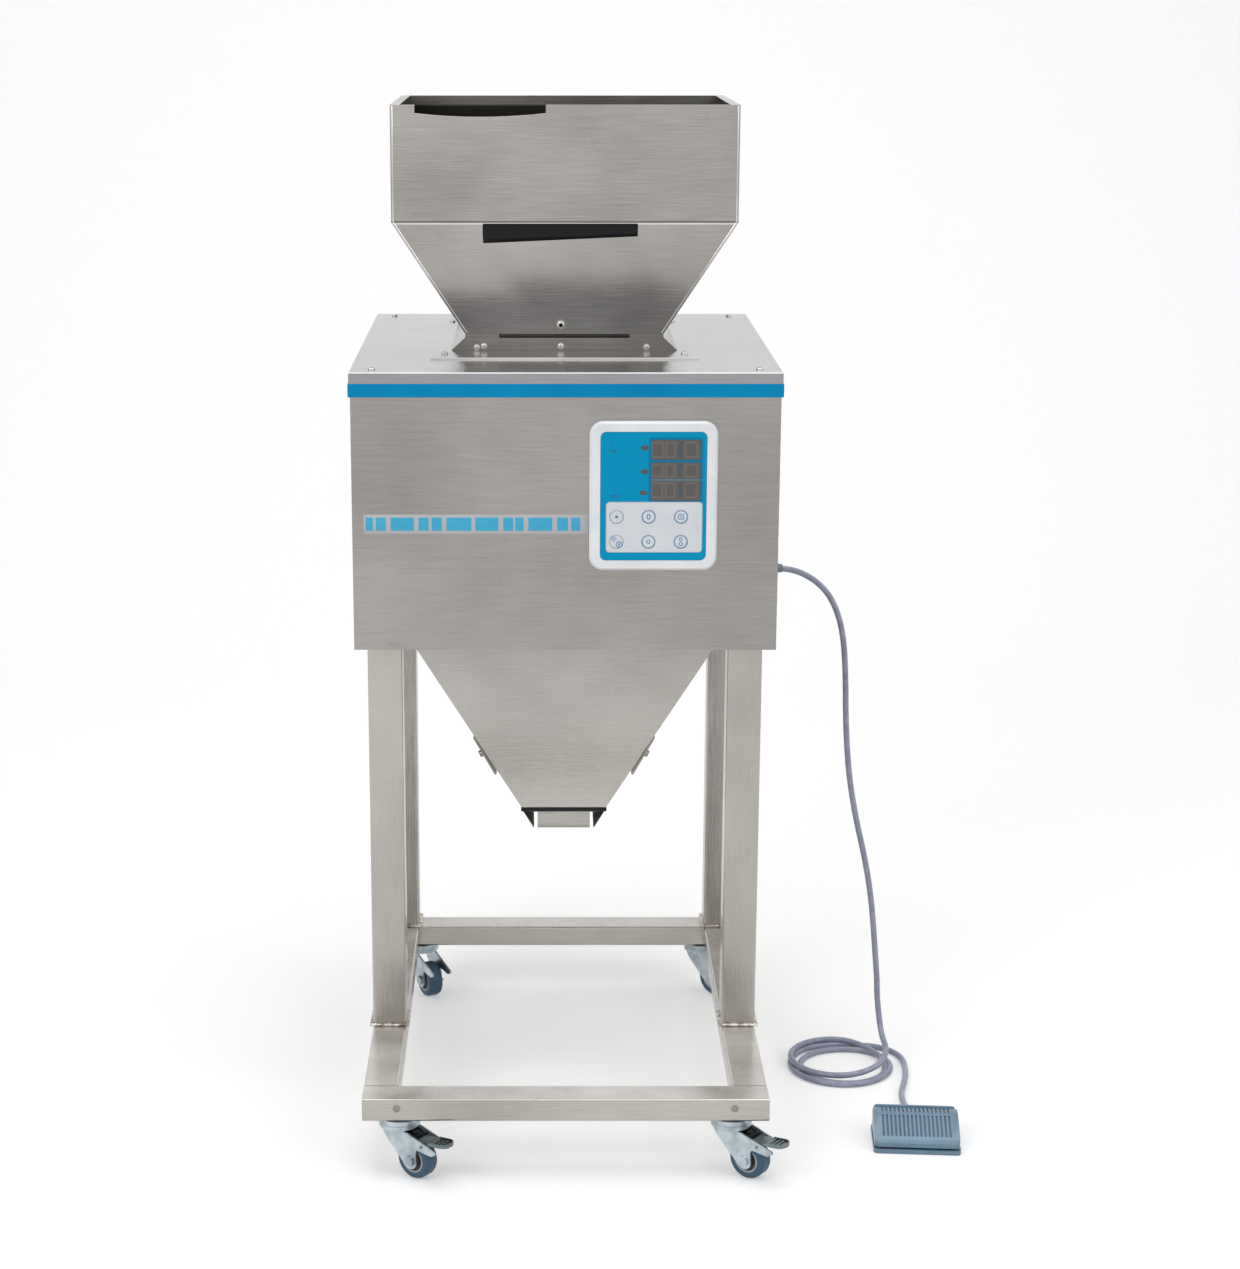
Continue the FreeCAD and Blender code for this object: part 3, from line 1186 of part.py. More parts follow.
def pedal_treadle():
    """Wedge cover with side skirts, grooved along its slope and along its rear ledge."""
    w, d = PEDAL_W / 2, PEDAL_D / 2
    z0 = PEDAL_BASE_H + PEDAL_SEAM
    ledge = d - 14
    side = [(-d + 1, z0), (d - 1, z0), (d - 1, PEDAL_BACK_H - 5), (d - 6, PEDAL_BACK_H),
            (ledge, PEDAL_BACK_H), (-d + 6, PEDAL_FRONT_H), (-d + 1, PEDAL_FRONT_H - 4)]
    cover = prism("x", side, -w + 1, w - 1)
    plan = rounded("z", -w + 1, w - 1, -d + 1, d - 1, 0, PEDAL_BACK_H + 1, 5)
    cover = cover.common(plan)
    t = PEDAL_WALL
    core = [(-d + 1 + t, z0 - 1), (d - 1 - t, z0 - 1), (d - 1 - t, PEDAL_BACK_H - 5 - t),
            (d - 6 - t, PEDAL_BACK_H - t), (ledge, PEDAL_BACK_H - t),
            (-d + 6 + t, PEDAL_FRONT_H - t), (-d + 1 + t, PEDAL_FRONT_H - 4 - t)]
    cover = cover.cut(prism("x", core, -w + 1 + t, w - 1 - t))
    rise = PEDAL_BACK_H - PEDAL_FRONT_H
    run = ledge + d - 6
    pitch = (PEDAL_W - 18) / GROOVES
    cuts = []
    for i in range(GROOVES):
        x = -(PEDAL_W - 18) / 2 + (i + 0.5) * pitch - 0.9
        y0, y1 = -d + 9, ledge - 3
        depth = 1.0
        z_at = [PEDAL_FRONT_H + rise * (y - (-d + 6)) / run for y in (y0, y1)]
        cuts.append(prism("x", [(y0, z_at[0] - depth), (y1, z_at[1] - depth),
                                (y1, z_at[1] + 2), (y0, z_at[0] + 2)], x, x + 1.8))
        cuts.append(box(x, x + 1.8, ledge + 1, d - 7, PEDAL_BACK_H - depth, PEDAL_BACK_H + 1))
    y, z = pedal_axis()
    cuts.append(rod("x", y, z, -w - 1, w + 1, PEDAL_PIN_D / 2 + RUN))
    cuts.append(rounded("y", -10.5, 10.5, z0 - 3, 15.5, d - 8, d + 1, 3))
    return less(cover, cuts)


def pedal_ceiling(y):
    """Height of the hollow under the treadle's slope."""
    start, end = -PEDAL_D / 2 + 6 + PEDAL_WALL, PEDAL_D / 2 - 14
    rise = PEDAL_BACK_H - PEDAL_FRONT_H
    return PEDAL_FRONT_H - PEDAL_WALL + rise * (y - start) / (end - start)


def pedal_drop(y):
    """How far the treadle comes down at y when its front edge is pressed home."""
    hinge = pedal_axis()[0]
    return PEDAL_TRAVEL * (hinge - y) / (hinge + PEDAL_D / 2 - 1)


def pedal_pin():
    y, z = pedal_axis()
    return rod("x", y, z, -PEDAL_W / 2 + 1.4, PEDAL_W / 2 - 1.4, PEDAL_PIN_D / 2)


def pedal_switch():
    """Snap switch on the base plate, with its plunger under the slope."""
    case_top = PEDAL_BASE_H + 9
    case = box(-10, 10, -14, 2, PEDAL_BASE_H, case_top)
    y, r = -8.0, 2.0
    plunger_top = pedal_ceiling(y - r) - pedal_drop(y - r) - FREE
    return joined([case, rod("z", 0, y, case_top, plunger_top, r)])


def foot_switch():
    for name, shape in (("pedal_base", pedal_base()), ("pedal_treadle", pedal_treadle()),
                        ("pedal_pin", pedal_pin()), ("pedal_switch", pedal_switch())):
        keep(name, turned(shape, PEDAL_TURN, PEDAL_X, PEDAL_Y))


def build():
    keep("base_tubes", base_tubes())
    keep("legs", legs())
    casters()
    keep("cabinet_shell", cabinet_shell())
    keep("cabinet_floor", cabinet_floor())
    keep("rear_cover", rear_cover())
    keep("cabinet_lid", cabinet_lid())
    keep("blue_band", blue_band())
    keep("hopper_front_plate", hopper_front())
    keep("hopper_rear_plate", hopper_rear())
    keep("hopper_side_plates", hopper_sides())
    keep("sight_window", sight_window())
    keep("gate_frame", gate_frame())
    keep("flow_gate", flow_gate())
    keep("feed_collar", feed_collar())
    keep("front_screws", front_screws())
    keep("cover_plate", cover_plate())
    keep("top_screws", top_screws())
    keep("panel_bezel", panel_bezel())
    keep("panel_overlay", panel_overlay())
    keep("display_windows", display_windows())
    for number, (x, z) in enumerate(key_places(), 1):
        keep("key_%d" % number, panel_key(x, z))
    keep("control_board", control_board())
    keep("feeder_tray", feeder_tray())
    keep("feeder_base", feeder_base())
    keep("leaf_springs", leaf_springs())
    keep("load_cell", load_cell())
    keep("load_cell_stand", load_cell_stand())
    keep("weigh_bucket", weigh_bucket())
    keep("bucket_door", bucket_door())
    keep("door_motor", door_motor())
    keep("discharge_funnel", discharge_funnel())
    keep("outlet_seal", outlet_seal())
    keep("funnel_side_plates", funnel_side_plates())
    keep("discharge_chute", discharge_chute())
    keep("power_inlet", power_inlet())
    keep("power_rocker", power_rocker())
    keep("cable_gland", cable_gland())
    keep("cord_drop", cord_tube(DROP_ROUTE, "drop"))
    keep("cord_coil", cord_coil())
    keep("cord_tail", cord_tube(TAIL_ROUTE, "tail"))
    foot_switch()


build()
for name, shape in NODES.items():
    if not shape.isValid():
        print("not valid", name)
    shape.exportStep("parts/%s.step" % name)
print(len(NODES), "parts")
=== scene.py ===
import json
import math

import bpy
from mathutils import Matrix, Vector

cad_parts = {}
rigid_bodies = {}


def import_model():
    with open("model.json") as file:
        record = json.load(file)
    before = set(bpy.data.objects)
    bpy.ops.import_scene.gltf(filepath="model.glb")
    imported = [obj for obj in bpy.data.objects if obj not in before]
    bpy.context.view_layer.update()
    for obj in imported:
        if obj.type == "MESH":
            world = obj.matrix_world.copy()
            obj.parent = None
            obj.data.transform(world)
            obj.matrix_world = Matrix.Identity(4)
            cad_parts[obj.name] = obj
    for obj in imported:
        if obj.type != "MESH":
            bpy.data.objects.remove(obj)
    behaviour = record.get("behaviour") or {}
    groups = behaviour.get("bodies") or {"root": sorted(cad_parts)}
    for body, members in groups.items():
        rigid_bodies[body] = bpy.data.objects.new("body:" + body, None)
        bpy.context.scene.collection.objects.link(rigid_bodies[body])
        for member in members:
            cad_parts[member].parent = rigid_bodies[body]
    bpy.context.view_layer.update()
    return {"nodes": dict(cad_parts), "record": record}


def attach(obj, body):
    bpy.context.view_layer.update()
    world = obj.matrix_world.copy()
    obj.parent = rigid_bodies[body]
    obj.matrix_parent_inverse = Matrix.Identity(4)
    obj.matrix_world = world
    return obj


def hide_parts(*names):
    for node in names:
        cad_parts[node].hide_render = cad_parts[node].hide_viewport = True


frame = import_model()
nodes = frame["nodes"]
MM = 0.001


# The camera stands where the photograph was taken from, about 2.8 m in front
# and a little above the hopper's rim, and looks down on the stand.
CAMERA_PLACE = (-0.0295, -2.8457, 1.233)
CAMERA_PITCH = 13.9
PHOTO_LONG_SIDE = 1269
FOCAL_PIXELS = 2600
AXIS_LEFT_OF_MIDDLE = 82
SENSOR_WIDTH = 36.0
SEES_TO = 60.0

camera = bpy.data.objects.new("camera", bpy.data.cameras.new("camera"))
bpy.context.scene.collection.objects.link(camera)
camera.data.sensor_width = SENSOR_WIDTH
camera.data.lens = SENSOR_WIDTH * FOCAL_PIXELS / PHOTO_LONG_SIDE
camera.data.shift_x = AXIS_LEFT_OF_MIDDLE / PHOTO_LONG_SIDE
camera.location = CAMERA_PLACE
camera.rotation_euler = (math.radians(90 - CAMERA_PITCH), 0, 0)
camera.data.clip_end = SEES_TO
bpy.context.scene.camera = camera
bpy.context.scene.view_settings.view_transform = "Standard"


# The foot switch's cord: 7 mm grey-violet PVC lead, a smooth extruded sheath.
# It drops from the gland, lies in three loose turns and runs to the pedal.
CORD_D = 7.0
COIL_X, COIL_Y = 327.0, 11.0
DROP_ROUTE = [(241.5, 97, 584), (262, 97, 584), (288, 96.3, 573), (307, 94.5, 555.5),
              (319, 92, 532), (326, 89, 502), (329, 84.5, 460), (330, 78, 402), (334, 70, 345),
              (343, 64, 292), (355, 58.5, 243), (363.5, 52.5, 193), (368.5, 47, 135),
              (372, 46.5, 98), (373, 49, 76), (375.6, 42.5, 48)]
TAIL_ROUTE = [(362, 68, 3.5), (379, 62.5, 3.5), (394, 49.5, 3.5), (402, 31.5, 3.5),
              (403, 8, 3.5), (400.5, -18, 3.5), (395, -44, 3.5), (388, -70, 3.5),
              (386.5, -96, 3.6), (388.2, -121, 5.2), (390.4, -146.1, 8.5), (388.9, -167.1, 8.5)]
COIL_START, COIL_TURN, COIL_STEP = 22.0, 1030.0, 22.0
COIL_R, SECOND_TIGHTER, THIRD_WIDER = 55.0, 4.5, 9.0
SECOND_FROM, THIRD_FROM, TURN_BLEND = 310.0, 650.0, 90.0
TOP_TURN_UP, LANDING_UP, LANDING_END, LANDING_POWER = 5.6, 22.0, 130.0, 2.2
FIRST_BACK, SECOND_FORWARD, SIDEWAYS = 8.0, 6.0, 0.4


def coil_point(turned):
    """A point of the coil after so many degrees, clockwise from where the drop comes in."""
    landing = LANDING_UP * max(0.0, 1 - turned / LANDING_END) ** LANDING_POWER
    second = min(1.0, max(0.0, (turned - SECOND_FROM) / TURN_BLEND))
    third = min(1.0, max(0.0, (turned - THIRD_FROM) / TURN_BLEND))
    radius = COIL_R - SECOND_TIGHTER * second + THIRD_WIDER * third
    height = CORD_D / 2 + TOP_TURN_UP * (1 - second) + landing
    slack = FIRST_BACK * (1 - second) * min(1.0, turned / TURN_BLEND)
    slack -= SECOND_FORWARD * second * (1 - third)
    angle = math.radians(COIL_START - turned)
    return (COIL_X - SIDEWAYS * slack + radius * math.cos(angle),
            COIL_Y + slack + radius * math.sin(angle), height)


coil_steps = round(COIL_TURN / COIL_STEP)
coil_route = [coil_point(i * COIL_TURN / coil_steps) for i in range(coil_steps)]
cord_line = bpy.data.curves.new("foot_switch_cord", "CURVE")
cord_line.dimensions = "3D"
spline = cord_line.splines.new("NURBS")
route = DROP_ROUTE + coil_route + TAIL_ROUTE
spline.points.add(len(route) - 1)
for point, place in zip(spline.points, route):
    point.co = (*[value * MM for value in place], 1)
    point.radius = CORD_D / 2 * MM
spline.order_u = 3
spline.use_endpoint_u = True
cord_line.resolution_u = 8
cord_line.bevel_depth = 1.0
cord_line.bevel_resolution = 5
cord_line.use_fill_caps = True
cord = bpy.data.objects.new("foot_switch_cord", cord_line)
bpy.context.scene.collection.objects.link(cord)
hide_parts("cord_drop", "cord_coil", "cord_tail")
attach(cord, "machine")


def linear(code):
    """An sRGB hex colour as the linear RGBA that shaders work in."""
    parts = [int(code[i:i + 2], 16) / 255 for i in (1, 3, 5)]
    return [c / 12.92 if c <= 0.04045 else ((c + 0.055) / 1.055) ** 2.4 for c in parts] + [1.0]


def feed(tree, node, inputs):
    """Sets a node's sockets from constants, other nodes or one of their outputs."""
    for key, value in inputs.items():
        if isinstance(value, bpy.types.Node):
            value = value.outputs[0]
        if isinstance(value, bpy.types.NodeSocket):
            tree.links.new(value, node.inputs[key])
        else:
            node.inputs[key].default_value = value


def add_node(tree, kind, settings, inputs):
    """One shader node: settings are its own properties or a ramp's stops, inputs its sockets."""
    made = tree.nodes.new("ShaderNode" + kind)
    for element, (position, code) in zip(made.color_ramp.elements if "stops" in settings else (),
                                         settings.pop("stops", ())):
        element.position, element.color = position, linear(code)
    for name, value in settings.items():
        setattr(made, name, value)
    feed(tree, made, inputs)
    return made


def new_material(name, inputs):
    """A material with one Principled shader whose sockets are set from inputs."""
    material = bpy.data.materials.new(name)
    material.use_nodes = True
    material.node_tree.nodes.clear()
    tree = material.node_tree
    shader = add_node(tree, "BsdfPrincipled", {}, inputs)
    add_node(tree, "OutputMaterial", {}, {"Surface": shader.outputs[0]})
    return material, tree, shader


def dress(material, *names):
    """Gives CAD nodes a material through their slots."""
    for name in names:
        part = nodes[name]
        if not part.material_slots:
            part.data.materials.append(material)
        for slot in part.material_slots:
            slot.link = "OBJECT"
            slot.material = material


# Extruded soft PVC: an even, faintly mottled sheath with a low sheen.
pvc, tree, shader = new_material("extruded_pvc_sheath", {"Roughness": 0.30})
place = add_node(tree, "TexCoord", {}, {}).outputs["Object"]
mottle = add_node(tree, "TexNoise", {}, {"Vector": place, "Scale": 90.0, "Detail": 3.0})
tint = add_node(tree, "ValToRGB", {"stops": ((0.3, "#80859a"), (0.7, "#999db0"))}, {0: mottle})
grain = add_node(tree, "TexNoise", {}, {"Vector": place, "Scale": 900.0, "Detail": 2.0})
bump = add_node(tree, "Bump", {}, {"Height": grain, "Strength": 0.08, "Distance": 0.3 * MM})
feed(tree, shader, {"Base Color": tint, "Normal": bump})
cord_line.materials.append(pvc)


# Studio: a white paper sweep from the floor up behind the machine, lit by a
# plain white surround and three soft boxes. It isn't part of the object.
SWEEP_FRONT, SWEEP_BACK, SWEEP_HALF, SWEEP_TOP = -6.0, 3.4, 7.0, 6.0
SWEEP_BEND = 1.8

bpy.ops.object.select_all(action="DESELECT")
bpy.ops.mesh.primitive_plane_add(size=1.0, location=(0, (SWEEP_FRONT + SWEEP_BACK) / 2, 0))
sweep = bpy.context.object
sweep.name = sweep.data.name = "studio_sweep"
sweep.scale = (2 * SWEEP_HALF, SWEEP_BACK - SWEEP_FRONT, 1)
bpy.ops.object.transform_apply(location=True, rotation=True, scale=True)


def pick_edges(piece, test):
    """Selects the edges whose two ends pass a test, in edit mode."""
    bpy.ops.object.mode_set(mode="OBJECT")
    for point in piece.data.vertices:
        point.select = False
    for face in piece.data.polygons:
        face.select = False
    for edge in piece.data.edges:
        edge.select = test(*[piece.data.vertices[i].co for i in edge.vertices])
    bpy.context.tool_settings.mesh_select_mode = (False, True, False)
    bpy.ops.object.mode_set(mode="EDIT")


def at_back(*ends):
    """True where the paper turns up."""
    return all(end.y > SWEEP_BACK - 0.01 and end.z < 0.01 for end in ends)


pick_edges(sweep, at_back)
bpy.ops.mesh.extrude_region_move(TRANSFORM_OT_translate={"value": (0, 0, SWEEP_TOP)})
pick_edges(sweep, at_back)
bpy.ops.mesh.bevel(offset=SWEEP_BEND, segments=16)
bpy.ops.object.mode_set(mode="OBJECT")
bpy.ops.object.shade_smooth_by_angle(angle=math.radians(40))

PAPER_LIFT, SKY_LIGHT, SKY_SEEN = 0.31, 0.58, 1.0
paper, tree, shader = new_material("white_paper_sweep", {"Base Color": linear("#dcdcdc"),
                                                         "Roughness": 0.7})


def in_view(tree):
    """1 for rays that see a surface, also in a mirror or through glass, and 0 for others."""
    rays = add_node(tree, "LightPath", {}, {}).outputs
    seen = add_node(tree, "Math", {"operation": "ADD", "use_clamp": True},
                    {0: rays["Is Camera Ray"], 1: rays["Is Glossy Ray"]})
    return add_node(tree, "Math", {"operation": "ADD", "use_clamp": True},
                    {0: seen.outputs[0], 1: rays["Is Transmission Ray"]}).outputs[0]


lift = add_node(tree, "Math", {"operation": "MULTIPLY"}, {0: in_view(tree), 1: PAPER_LIFT})
feed(tree, shader, {"Emission Strength": lift.outputs[0], "Emission Color": linear("#ffffff")})
sweep.data.materials.append(paper)

world = bpy.data.worlds.new("studio_world")
bpy.context.scene.world = world
world.use_nodes = True
tree = world.node_tree
tree.nodes.clear()
level = add_node(tree, "MapRange", {}, {"Value": in_view(tree), "To Min": SKY_LIGHT,
                                        "To Max": SKY_SEEN})
sky = add_node(tree, "Background", {}, {"Color": linear("#ffffff"), "Strength": level})
add_node(tree, "OutputWorld", {}, {"Surface": sky.outputs[0]})

LAMP_AIM_Z = 0.6
SOFT_BOXES = (("soft_box_left", (-2.6, -2.6, 3.0), 2.2, 54.0),
              ("soft_box_right", (2.8, -2.0, 2.4), 2.0, 26.0),
              ("soft_box_top", (0.1, 0.2, 3.6), 2.6, 46.0))
for name, place, size, power in SOFT_BOXES:
    lamp = bpy.data.lights.new(name, "AREA")
    lamp.shape = "SQUARE"
    lamp.size = size
    lamp.energy = power
    holder = bpy.data.objects.new(name, lamp)
    bpy.context.scene.collection.objects.link(holder)
    holder.location = place
    aim = Vector((0, 0, LAMP_AIM_Z)) - Vector(place)
    holder.rotation_euler = aim.to_track_quat("-Z", "Y").to_euler()


# Base frame and legs: welded square and rectangular stainless tube, ground
# along its length, so the grain runs with each tube and breaks up reflections.
GRAIN_ACROSS, GRAIN_ALONG, CLOUD, SMUDGE = 1.2, 45.0, 150.0, 28.0


def layered(tree, tone, *coats):
    """Colours laid one over another, each by its own share from 0 to 1."""
    for colour, share in coats:
        mix = add_node(tree, "Mix", {"data_type": "RGBA"}, {0: share, 6: tone, 7: colour})
        tone = mix.outputs[2]
    return tone


def brushed_stainless(name, along, light, dark, roughness):
    """Ground stainless: grain drawn 1.2 mm apart, coarser than the real 0.2 mm, to show."""
    material, tree, shader = new_material(name, {"Metallic": 1.0, "Anisotropic": 0.3})
    place = add_node(tree, "TexCoord", {}, {}).outputs["Object"]
    scale = [1000 / (GRAIN_ALONG if axis in along else GRAIN_ACROSS) for axis in "xyz"]
    line = add_node(tree, "Mapping", {}, {"Vector": place, "Scale": scale}).outputs[0]
    fine = add_node(tree, "TexNoise", {}, {"Vector": line, "Scale": 1.0, "Detail": 4.0,
                                           "Roughness": 0.6})
    cloud = add_node(tree, "TexNoise", {}, {"Vector": place, "Scale": 1000 / CLOUD,
                                            "Detail": 2.0, "Roughness": 0.5})
    smudge = add_node(tree, "TexNoise", {}, {"Vector": place, "Scale": 1000 / SMUDGE,
                                             "Detail": 4.0, "Distortion": 0.6})
    both = add_node(tree, "Math", {"operation": "MULTIPLY_ADD"}, {0: cloud, 1: 1.6, 2: fine})
    share = add_node(tree, "MapRange", {}, {"Value": both, "From Min": 0.9, "From Max": 1.7})
    tint = add_node(tree, "ValToRGB", {"stops": ((0.0, dark), (1.0, light))}, {0: share})
    worn = add_node(tree, "MapRange", {}, {"Value": smudge, "From Min": 0.68, "From Max": 0.8,
                                           "To Min": 0.0, "To Max": 0.22})
    rough = add_node(tree, "MapRange", {}, {"Value": fine, "From Min": 0.3, "From Max": 0.7,
                                            "To Min": roughness - 0.04,
                                            "To Max": roughness + 0.06})
    bump = add_node(tree, "Bump", {}, {"Height": fine, "Strength": 0.10, "Distance": 0.2 * MM})
    feed(tree, shader, {"Base Color": layered(tree, tint.outputs[0], (linear("#6b6864"), worn)),
                        "Roughness": rough, "Normal": bump})
    return material


def overlay(material, code, share_of):
    """Lays a colour over a metal's own, by a share worked out in its node tree."""
    tree = material.node_tree
    shader = next(node for node in tree.nodes if node.type == "BSDF_PRINCIPLED")
    share = share_of(tree)
    own = shader.inputs["Base Color"].links[0].from_socket
    feed(tree, shader, {"Base Color": layered(tree, own, (linear(code), share))})
    return tree, shader, share


rail_steel = brushed_stainless("ground_stainless_rail", "xy", "#bcb8b2", "#a39f9a", 0.22)
leg_steel = brushed_stainless("ground_stainless_leg", "z", "#b6b2ac", "#a09c97", 0.24)


def painted_top_light(tree):
    """Painted light: upward faces painted pale, in patches, for the light that the tubes' tops
    catch.
    """
    normal = add_node(tree, "NewGeometry", {}, {}).outputs["True Normal"]
    upward = add_node(tree, "SeparateXYZ", {}, {0: normal}).outputs["Z"]
    lying = add_node(tree, "MapRange", {}, {"Value": upward, "From Min": 0.8, "From Max": 0.98,
                                            "To Min": 0.0, "To Max": 0.85})
    place = add_node(tree, "TexCoord", {}, {}).outputs["Object"]
    patches = add_node(tree, "TexNoise", {}, {"Vector": place, "Scale": 14.0, "Detail": 4.0})
    return add_node(tree, "Math", {"operation": "MULTIPLY"}, {0: lying, 1: patches})


# The rail steel gets painted light on its tops: pale and less metallic where a face looks up.
tree, shader, film = overlay(rail_steel, "#e6e3de", painted_top_light)
bare = add_node(tree, "MapRange", {}, {"Value": film, "To Min": 1.0, "To Max": 0.0})
feed(tree, shader, {"Metallic": bare})


# Weld beads round the foot of each leg and ground plug welds in the front bar:
# stainless filler, left as laid, so it is rippled and heat-tinted straw to grey.
LEG_W, RAIL_TOP, BEAD = 38.0, 89.0, 3.6
LEG_X, LEG_ROWS = 198.0, (-59.0, 263.0)
PLUG_X, PLUG_Z, PLUG_R, BAR_FRONT = 180.0, 78.8, 4.2, -282.0


def block(place, size, turn=(0, 0, 0)):
    """A cuboid about its place, in millimetres."""
    bpy.ops.object.select_all(action="DESELECT")
    bpy.ops.mesh.primitive_cube_add(size=MM, location=Vector(place) * MM, rotation=turn)
    piece = bpy.context.object
    piece.scale = size
    bpy.ops.object.transform_apply(location=True, rotation=True, scale=True)
    return piece


def rod(place, radius, length, sides, turn=(0, 0, 0)):
    """A cylinder about its place, in millimetres, upright unless it is turned."""
    bpy.ops.object.select_all(action="DESELECT")
    bpy.ops.mesh.primitive_cylinder_add(vertices=sides, radius=radius * MM, depth=length * MM,
                                        location=Vector(place) * MM, rotation=turn)
    bpy.ops.object.transform_apply(location=True, rotation=True, scale=True)
    return bpy.context.object


def finish(piece, name, body, material):
    """Settles a modelled piece: its place in its mesh, its name, body, slot and finish."""
    bpy.ops.object.mode_set(mode="OBJECT")
    bpy.ops.object.transform_apply(location=True, rotation=True, scale=True)
    bpy.ops.object.shade_smooth_by_angle(angle=math.radians(35))
    piece.name = piece.data.name = name
    if material not in piece.data.materials[:]:
        piece.data.materials.clear()
        piece.data.materials.append(material)
    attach(piece, body)
    return piece


def pick(piece, test):
    """Selects the faces whose middle and normal pass a test, in edit mode."""
    bpy.ops.object.mode_set(mode="OBJECT")
    for point in piece.data.vertices:
        point.select = False
    for edge in piece.data.edges:
        edge.select = False
    for face in piece.data.polygons:
        face.select = test(face.center, face.normal)
    bpy.ops.object.mode_set(mode="EDIT")
    bpy.ops.mesh.select_mode(type="FACE")


def join_all(pieces):
    """Several like pieces as one object."""
    bpy.ops.object.select_all(action="DESELECT")
    for piece in pieces:
        piece.select_set(True)
    bpy.context.view_layer.objects.active = pieces[0]
    bpy.ops.object.join()
    return pieces[0]


weld, tree, shader = new_material("heat_tinted_weld", {"Metallic": 0.9, "Roughness": 0.2})
place = add_node(tree, "TexCoord", {}, {}).outputs["Object"]
tinge = add_node(tree, "TexNoise", {}, {"Vector": place, "Scale": 130.0, "Detail": 3.0})
tint = add_node(tree, "ValToRGB", {"stops": ((0.35, "#75695c"), (0.62, "#dfdad1"))}, {0: tinge})
ripple = add_node(tree, "TexNoise", {}, {"Vector": place, "Scale": 420.0, "Detail": 2.0})
bump = add_node(tree, "Bump", {}, {"Height": ripple, "Strength": 0.6, "Distance": 1.0 * MM})
feed(tree, shader, {"Base Color": tint, "Normal": bump})

beads = []
for x in (-LEG_X, LEG_X):
    for y in LEG_ROWS:
        bead = block((x, y, RAIL_TOP + BEAD / 2), (LEG_W + 2 * BEAD, LEG_W + 2 * BEAD, BEAD))
        pick(bead, lambda middle, normal: True)
        bpy.ops.mesh.bevel(offset=0.45 * BEAD * MM, segments=4)
        bpy.ops.object.mode_set(mode="OBJECT")
        beads.append(bead)
finish(join_all(beads), "leg_weld_beads", "machine", weld)

plugs = []
for x in (-PLUG_X, PLUG_X):
    plug = rod((x, BAR_FRONT - 0.1, PLUG_Z), PLUG_R, 0.3, 40, (math.radians(90), 0, 0))
    pick(plug, lambda middle, normal: normal.y < -0.9)
    bpy.ops.mesh.inset(thickness=0.9 * MM)
    bpy.ops.mesh.extrude_region_shrink_fatten(TRANSFORM_OT_shrink_fatten={"value": -0.2 * MM})
    bpy.ops.object.mode_set(mode="OBJECT")
    plugs.append(plug)
plug_steel = brushed_stainless("ground_plug_weld", "x", "#a09c97", "#78746f", 0.3)
finish(join_all(plugs), "plug_welds", "machine", plug_steel)


# Legs: square tube with rolled corners, which catch a fine line of light down
# each edge. The same easing serves the folded and pressed pieces below.
bodies = frame["record"]["behaviour"]["bodies"]
FOLD_ANGLE = 28.0


def ease(piece, width, segments, angle):
    """Bevels the edges that turn by more than an angle, in degrees."""
    made = piece.modifiers.new("eased_edges", "BEVEL")
    made.width, made.segments = width * MM, segments
    made.limit_method, made.angle_limit = "ANGLE", math.radians(angle)
    bpy.ops.object.modifier_apply(modifier=made.name)


def softened(name, width, segments, material):
    """A CAD piece with its sharp edges eased, as pressing, folding or moulding leaves them."""
    bpy.ops.object.select_all(action="DESELECT")
    piece = bpy.data.objects.new(name + "_eased", nodes[name].data.copy())
    bpy.context.scene.collection.objects.link(piece)
    bpy.context.view_layer.objects.active = piece
    piece.select_set(True)
    bpy.ops.object.mode_set(mode="EDIT")
    bpy.ops.mesh.select_all(action="SELECT")
    bpy.ops.mesh.remove_doubles(threshold=0.01 * MM)
    bpy.ops.mesh.dissolve_limited(angle_limit=math.radians(0.5))
    bpy.ops.object.mode_set(mode="OBJECT")
    ease(piece, width, segments, FOLD_ANGLE)
    body = next(body for body, names in bodies.items() if name in names)
    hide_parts(name)
    finish(piece, name + "_eased", body, material)
    flat = piece.modifiers.new("flat_faces_stay_flat", "WEIGHTED_NORMAL")
    flat.keep_sharp = True
    bpy.ops.object.modifier_apply(modifier=flat.name)
    return piece


dress(rail_steel, "base_tubes")
softened("legs", 1.4, 3, leg_steel)


# Casters: blue-white zinc plated steel pressings with brake levers rubbed dark
# by shoes. The plating gives a cool, slightly cloudy shine.
zinc, tree, shader = new_material("blue_white_zinc_plate", {"Metallic": 1.0})
place = add_node(tree, "TexCoord", {}, {}).outputs["Object"]
cloud = add_node(tree, "TexNoise", {}, {"Vector": place, "Scale": 60.0, "Detail": 4.0})
tint = add_node(tree, "ValToRGB", {"stops": ((0.35, "#9aa5ab"), (0.65, "#bfcad0"))}, {0: cloud})
rough = add_node(tree, "MapRange", {}, {"Value": cloud, "To Min": 0.26, "To Max": 0.42})
grain = add_node(tree, "TexNoise", {}, {"Vector": place, "Scale": 900.0, "Detail": 2.0})
bump = add_node(tree, "Bump", {}, {"Height": grain, "Strength": 0.08, "Distance": 0.2 * MM})
feed(tree, shader, {"Base Color": tint, "Roughness": rough, "Normal": bump})
dress(zinc, "caster_mounts")
BRAKED, FREE = ("front_left", "front_right"), ("rear_left", "rear_right")
for corner in BRAKED + FREE:
    softened("fork_" + corner, 0.4, 2, zinc)
worn_zinc = brushed_stainless("handled_zinc_lever", "x", "#8b9799", "#566264", 0.26)
for corner in BRAKED:
    softened("brake_pedal_" + corner, 0.35, 2, worn_zinc)
